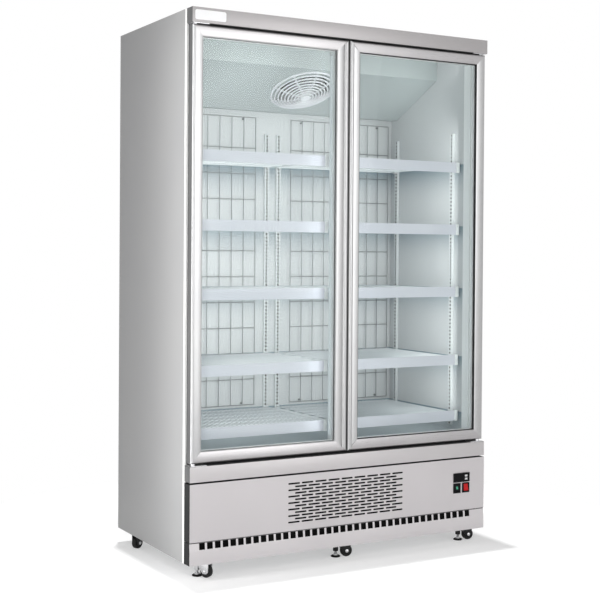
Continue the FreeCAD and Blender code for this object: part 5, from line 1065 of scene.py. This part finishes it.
lens = {"left": 0.0052, "right": 0.0448, "half": 0.0122, "sunk": 0.0002, "deep": 0.0012, "round": 0.0003}
keyRound, caseEase, rockerEase = 0.0009, 0.0008, 0.0006


def addDisplay(bm):
    x0, x1, y0, y1, z0, z1 = span("thermostat_housing")
    middle = (z0 + z1) / 2
    addBlock(bm, x0 + lens["left"], x0 + lens["right"], y0 + lens["sunk"], y0 + lens["deep"],
             middle - lens["half"], middle + lens["half"], lens["round"], 1)


dressed("thermostatLens", addDisplay, "display", "cabinet", slot="black_plastic")
for way, name in (("up", "keyUp"), ("down", "keyDown")):
    node = "thermostat_button_" + way
    dressed(name, lambda bm: addBlock(bm, *span(node), keyRound, 3), "key", "button_" + way, node,
            slot="button_plastic")
for node, name in (("thermostat_housing", "thermostatCase"), ("switch_bezels", "switchFrames")):
    ridesFor(softenedCopy(node, name, caseEase, finish["black"], 3), "cabinet", node, slot="black_plastic")
for tone, key in (("green", "black"), ("red", "red")):
    rocker = softenedCopy(tone + "_rocker", tone + "RockerKey", rockerEase, finish[key], 3)
    ridesFor(rocker, tone + "_switch", tone + "_rocker", slot=tone + "_plastic")

greenLens = {"width": 0.009, "height": 0.011, "low": 0.0080, "high": 0.0090, "tilt": 11, "round": 0.0004}


def addGreenLens(bm):  # lit window in the middle of the left rocker
    half, tall = greenLens["width"] / 2, greenLens["height"] / 2
    addBlock(bm, -half, half, -greenLens["high"], -greenLens["low"], -tall, tall, greenLens["round"], 2)
    pivot = Vector(jointOf["green_switch"]["pos_m"])
    place = Matrix.Translation(pivot) @ Matrix.Rotation(-math.radians(greenLens["tilt"]), 4, "X")
    bmesh.ops.transform(bm, matrix=place, verts=bm.verts)


dressed("greenLens", addGreenLens, "green", "green_switch", slot="green_plastic")
print("controls dressed")


# Casters and feet

caster = {"tyre": 0.004, "hub": 0.0115, "dish": 0.002, "half": 0.0098, "bore": 0.0037, "boss": 0.0060,
          "skirt": 0.0075, "ease": 0.0012, "forkEase": 0.0007, "boreIn": 0.001, "skirtIn": 0.0008,
          "rimIn": 0.0004}
axleHead = {"flat": 0.0046, "radius": 0.0060, "top": 0.0160, "shoulder": 0.0152, "base": 0.0135}
places = ["front_left", "front_centre", "front_right", "rear_left", "rear_centre", "rear_right"]


def addWheel(bm, place, radius):
    r, hub, dish, half, ease = (caster[key] for key in ("tyre", "hub", "dish", "half", "ease"))
    outer = [(caster["bore"], half - caster["boreIn"]), (caster["boss"], half),
             (caster["skirt"], half - caster["skirtIn"]), (hub - ease, half - dish), (hub, half - dish),
             (hub + ease, half - dish * 0.3), (radius - r, half - caster["rimIn"])]
    for step in range(1, 6):  # rounded shoulder of the tyre
        angle = math.pi / 2 * step / 5
        outer.append((radius - r + r * math.sin(angle), half - r + r * math.cos(angle)))
    other = [(distance, -height) for distance, height in reversed(outer)]
    addLathe(bm, outer + other, place, 36, closed=True)


def addNuts(bm, place):  # axle heads on both cheeks
    head = axleHead
    profile = [(0, head["top"]), (head["flat"], head["top"]), (head["radius"], head["shoulder"]),
               (head["radius"], head["base"]), (0, head["base"])]
    for turn in (math.pi, 0):
        addLathe(bm, profile, place @ Matrix.Rotation(turn, 4, "X"), 16)


for place in places:
    joint, node, fork = jointOf["wheel_" + place], "caster_wheel_" + place, "caster_fork_" + place
    axis = Vector(joint["axis"]).normalized()
    turn = Vector((0, 0, 1)).rotation_difference(axis).to_matrix().to_4x4()
    spot = Matrix.Translation(Vector(joint["pos_m"])) @ turn
    low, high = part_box(node)
    dressed("tyre_" + place, lambda bm: addWheel(bm, spot, (high.z - low.z) / 2), "tyre", "wheel_" + place,
            node, slot="wheel_rubber")
    forkFinish = finish["plated" if place == "front_left" else "fork"]
    ridesFor(softenedCopy(fork, "fork_" + place, caster["forkEase"], forkFinish), "swivel_" + place, fork,
             slot="dark_steel")
    dressed("axleHeads_" + place, lambda bm: addNuts(bm, spot), "plated", "swivel_" + place,
            slot="caster_steel")

foot = {"pad": 0.018, "thick": 0.007, "stem": 0.0049, "top": 0.038, "thread": 0.0016, "plated": 0.0115,
        "threadStart": 0.0041, "threadDeep": 0.0006, "tip": 0.0005, "padIn": 0.0015, "padRise": 0.0012,
        "shoulderIn": 0.0035, "neck": 0.0095}
collar = {"foot": 0.0090, "side": 0.0088, "top": 0.0080, "seat": 0.0001, "turn": 0.0028, "height": 0.0036}


def addFoot(bm, x, y):
    pad, thick, stem, pitch = foot["pad"], foot["thick"], foot["stem"], foot["thread"]
    profile = [(0, 0), (pad - foot["padIn"], 0), (pad, foot["padRise"]), (pad, thick * 0.5),
               (pad - foot["shoulderIn"], thick * 0.85), (foot["neck"], thick)]
    profile += [(collar["foot"], thick + collar["seat"]), (collar["side"], thick + collar["turn"]),
                (collar["top"], thick + collar["height"]), (stem, thick + collar["height"])]
    height = thick + foot["threadStart"]
    while height + pitch < foot["top"]:
        profile += [(stem - foot["threadDeep"], height + pitch * 0.25), (stem, height + pitch * 0.75)]
        height += pitch
    profile += [(stem - foot["tip"], foot["top"]), (0, foot["top"])]
    addLathe(bm, profile, Matrix.Translation((x, y, 0)), 28)


for place in places[:3]:
    node, name = "levelling_foot_" + place, "foot_" + place + "_pad"
    low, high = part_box(node)
    x, y = (low.x + high.x) / 2, (low.y + high.y) / 2
    mesh = meshFrom(name, lambda bm: addFoot(bm, x, y))
    for face in mesh.polygons:  # plated stem and collar on a black pad
        face.material_index = 1 if math.hypot(face.center.x - x, face.center.y - y) < foot["plated"] else 0
    ridesFor(newPiece(name, mesh, [finish["tyre"], finish["plated"]]), "foot_" + place, node,
             slot="caster_steel")
print("casters and feet made")


# Floor, lamps, world, camera

stageLook = {"white": (0.82, 0.82, 0.82), "keep": 0.80, "lift": 1.95, "near": 0.85, "far": 1.5, "reach": 30}


def backdropRays(tree):  # 1 for rays that show the background
    path = put(tree, "ShaderNodeLightPath")
    shown = putMath(tree, "MAXIMUM", path.outputs["Is Camera Ray"], path.outputs["Is Glossy Ray"])
    return putMath(tree, "MAXIMUM", shown, path.outputs["Is Transmission Ray"])


def makeFloor():  # the floor turns into the white backdrop
    far = stageLook["reach"]
    mesh = bpy.data.meshes.new("studioFloor")
    mesh.from_pydata([(-far, -far, 0), (far, -far, 0), (far, far, 0), (-far, far, 0)], [], [(0, 1, 2, 3)])
    mat = bpy.data.materials.new("studioFloorPaint")
    mat.use_nodes = True
    tree = mat.node_tree
    tree.nodes.clear()
    diffuse = put(tree, "ShaderNodeBsdfDiffuse", Color=(*stageLook["white"], 1)).outputs["BSDF"]
    away = tree.nodes.new("ShaderNodeVectorMath")
    away.operation = "LENGTH"
    tree.links.new(put(tree, "ShaderNodeTexCoord").outputs["Object"], away.inputs[0])
    distance, ends = away.outputs["Value"], (stageLook["near"], stageLook["far"])
    shade = ranged(tree, distance, stageLook["keep"], 0.0, *ends)
    bright = ranged(tree, distance, stageLook["lift"], 1.0, *ends)
    glow = put(tree, "ShaderNodeEmission", Strength=bright).outputs["Emission"]
    shown = mixedShader(tree, shade, glow, diffuse)
    put(tree, "ShaderNodeOutputMaterial", Surface=mixedShader(tree, backdropRays(tree), diffuse, shown))
    newPiece("studioFloor", mesh, mat)


worldLook = {"ambient": 0.24, "shown": 1.0}


def makeWorld():
    world = bpy.data.worlds.new("studioWorld")
    bpy.context.scene.world = world
    world.use_nodes = True
    tree = world.node_tree
    tree.nodes.clear()
    soft, white = (put(tree, "ShaderNodeBackground", Color=(1, 1, 1, 1), Strength=worldLook[key])
                   for key in ("ambient", "shown"))
    shown = mixedShader(tree, backdropRays(tree), soft.outputs["Background"], white.outputs["Background"])
    put(tree, "ShaderNodeOutputWorld", Surface=shown)


lamps = {
    "keyRight": {"at": (0.62, -2.45, 1.31), "to": (-0.15, -0.3, 1.2), "size": (1.0, 2.36), "power": 14.6},
    "leftSoft": {"at": (-1.5, -1.9, 1.16), "to": (-0.2, -0.3, 1.06), "size": (0.6, 2.3), "power": 17},
    "sideGlow": {"at": (-0.95, -0.32, 1.02), "to": (-0.63, -0.27, 1.02), "size": (0.08, 1.96), "power": 4.4},
    "frontSoft": {"at": (1.45, -4.4, 2.0), "to": (0.3, 0.0, 1.0), "size": (2.4, 2.4), "power": 24},
    "topSoft": {"at": (-0.135, 1.26, 25.0), "to": (0.0, 0.1, 0.0), "size": (0.42, 0.42), "power": 3700},
}


def makeLamp(name, look):
    lamp = bpy.data.lights.new(name, "AREA")
    lamp.shape = "RECTANGLE"
    lamp.size, lamp.size_y = look["size"]
    lamp.energy = look["power"]
    lamp.spread = math.radians(look.get("spread", 180))
    lamp.color = look.get("tint", (1, 1, 1))
    holder = bpy.data.objects.new(name, lamp)
    holder.location = look["at"]
    holder.visible_camera = False
    holder.rotation_euler = (Vector(look["to"]) - Vector(look["at"])).to_track_quat("-Z", "Y").to_euler()
    if look.get("hidden"):  # neither seen through the panes nor mirrored
        holder.visible_transmission = holder.visible_glossy = False
    bpy.context.scene.collection.objects.link(holder)
    return holder


makeFloor()
makeWorld()
for name, look in lamps.items():
    makeLamp(name, look)

barX1, barY0, barY1, barZ0, barZ1 = span("led_light_bars")[1:]
bayLight = {"tint": (0.95, 0.98, 1.0), "hidden": True}
bayLightSpot = {"off": 0.004, "inward": 0.45, "thick": 0.012}
for side, name, power in ((-1, "leftBayLight", 0.25), (1, "rightBayLight", 0.3)):
    at = (side * (barX1 + bayLightSpot["off"]), (barY0 + barY1) / 2, (barZ0 + barZ1) / 2)
    to = (at[0] + side, at[1] + bayLightSpot["inward"], at[2])
    size = (barZ1 - barZ0, bayLightSpot["thick"])
    holder = makeLamp(name, {**bayLight, "at": at, "to": to, "size": size, "power": power})
    forward = Vector((side, bayLightSpot["inward"], 0)).normalized()
    up = Vector((0, 0, 1))  # the long side stands upright
    holder.rotation_euler = Matrix((up, forward.cross(up) * -1, -forward)).transposed().to_euler()

fillTint = (1.0, 0.995, 0.985)
bayFill = {"setback": 0.066, "height": 1.15, "drop": 0.08, "tint": fillTint, "hidden": True}
for name, x, width, power, spread in (("leftBayFill", -0.31, 0.48, 2.45, 140),
                                      ("rightBayFill", 0.44, 0.26, 1.6, 160)):
    at = (x, faceY + bayFill["setback"], (barZ0 + barZ1) / 2 - bayFill["drop"])
    size = (width, bayFill["height"])
    to = (x, at[1] + 1, at[2])
    makeLamp(name, {**bayFill, "spread": spread, "at": at, "to": to, "size": size, "power": power})

coverY0, coverZ1 = span("evaporator_cover")[2], span("evaporator_cover")[5]
coverWash = {"setback": 0.05, "drop": 0.04, "size": (1.1, 0.02), "power": 0.38, "lift": 0.08, "behind": 0.001,
             "tint": fillTint, "hidden": True}
at = (0.0, faceY + coverWash["setback"], coverZ1 - coverWash["drop"])
to = (0.0, coverY0 + coverWash["behind"], at[2] + coverWash["lift"])
makeLamp("coverWash", {**coverWash, "at": at, "to": to})

view = {"at": (-2.3296, -3.7689, 1.1259), "focal": 1202.35, "yaw": -0.5158, "pitch": -0.0115, "roll": 0.0069,
        "centre": (296.63, 267.04), "side": 600, "film": 36}


def makeCamera():
    yaw, pitch, roll = view["yaw"], view["pitch"], view["roll"]
    forward = Vector((-math.sin(yaw) * math.cos(pitch), math.cos(yaw) * math.cos(pitch), math.sin(pitch)))
    right = Vector((math.cos(yaw), math.sin(yaw), 0))
    up = right.cross(forward)
    right3 = right * math.cos(roll) + up * math.sin(roll)
    up3 = up * math.cos(roll) - right * math.sin(roll)
    camera = bpy.data.cameras.new("photoCamera")
    camera.sensor_width = view["film"]
    camera.lens = view["focal"] / view["side"] * view["film"]  # focal and centre are in pixels
    camera.shift_x = 0.5 - view["centre"][0] / view["side"]
    camera.shift_y = view["centre"][1] / view["side"] - 0.5
    holder = bpy.data.objects.new("photoCamera", camera)
    place = Matrix((right3, up3, -forward)).transposed().to_4x4()
    place.translation = Vector(view["at"]) + Vector((0, faceY, 0))
    holder.matrix_world = place
    bpy.context.scene.collection.objects.link(holder)
    bpy.context.scene.camera = holder


makeCamera()
bpy.context.scene.view_settings.view_transform = "Standard"
print("stage, lamps and camera set")
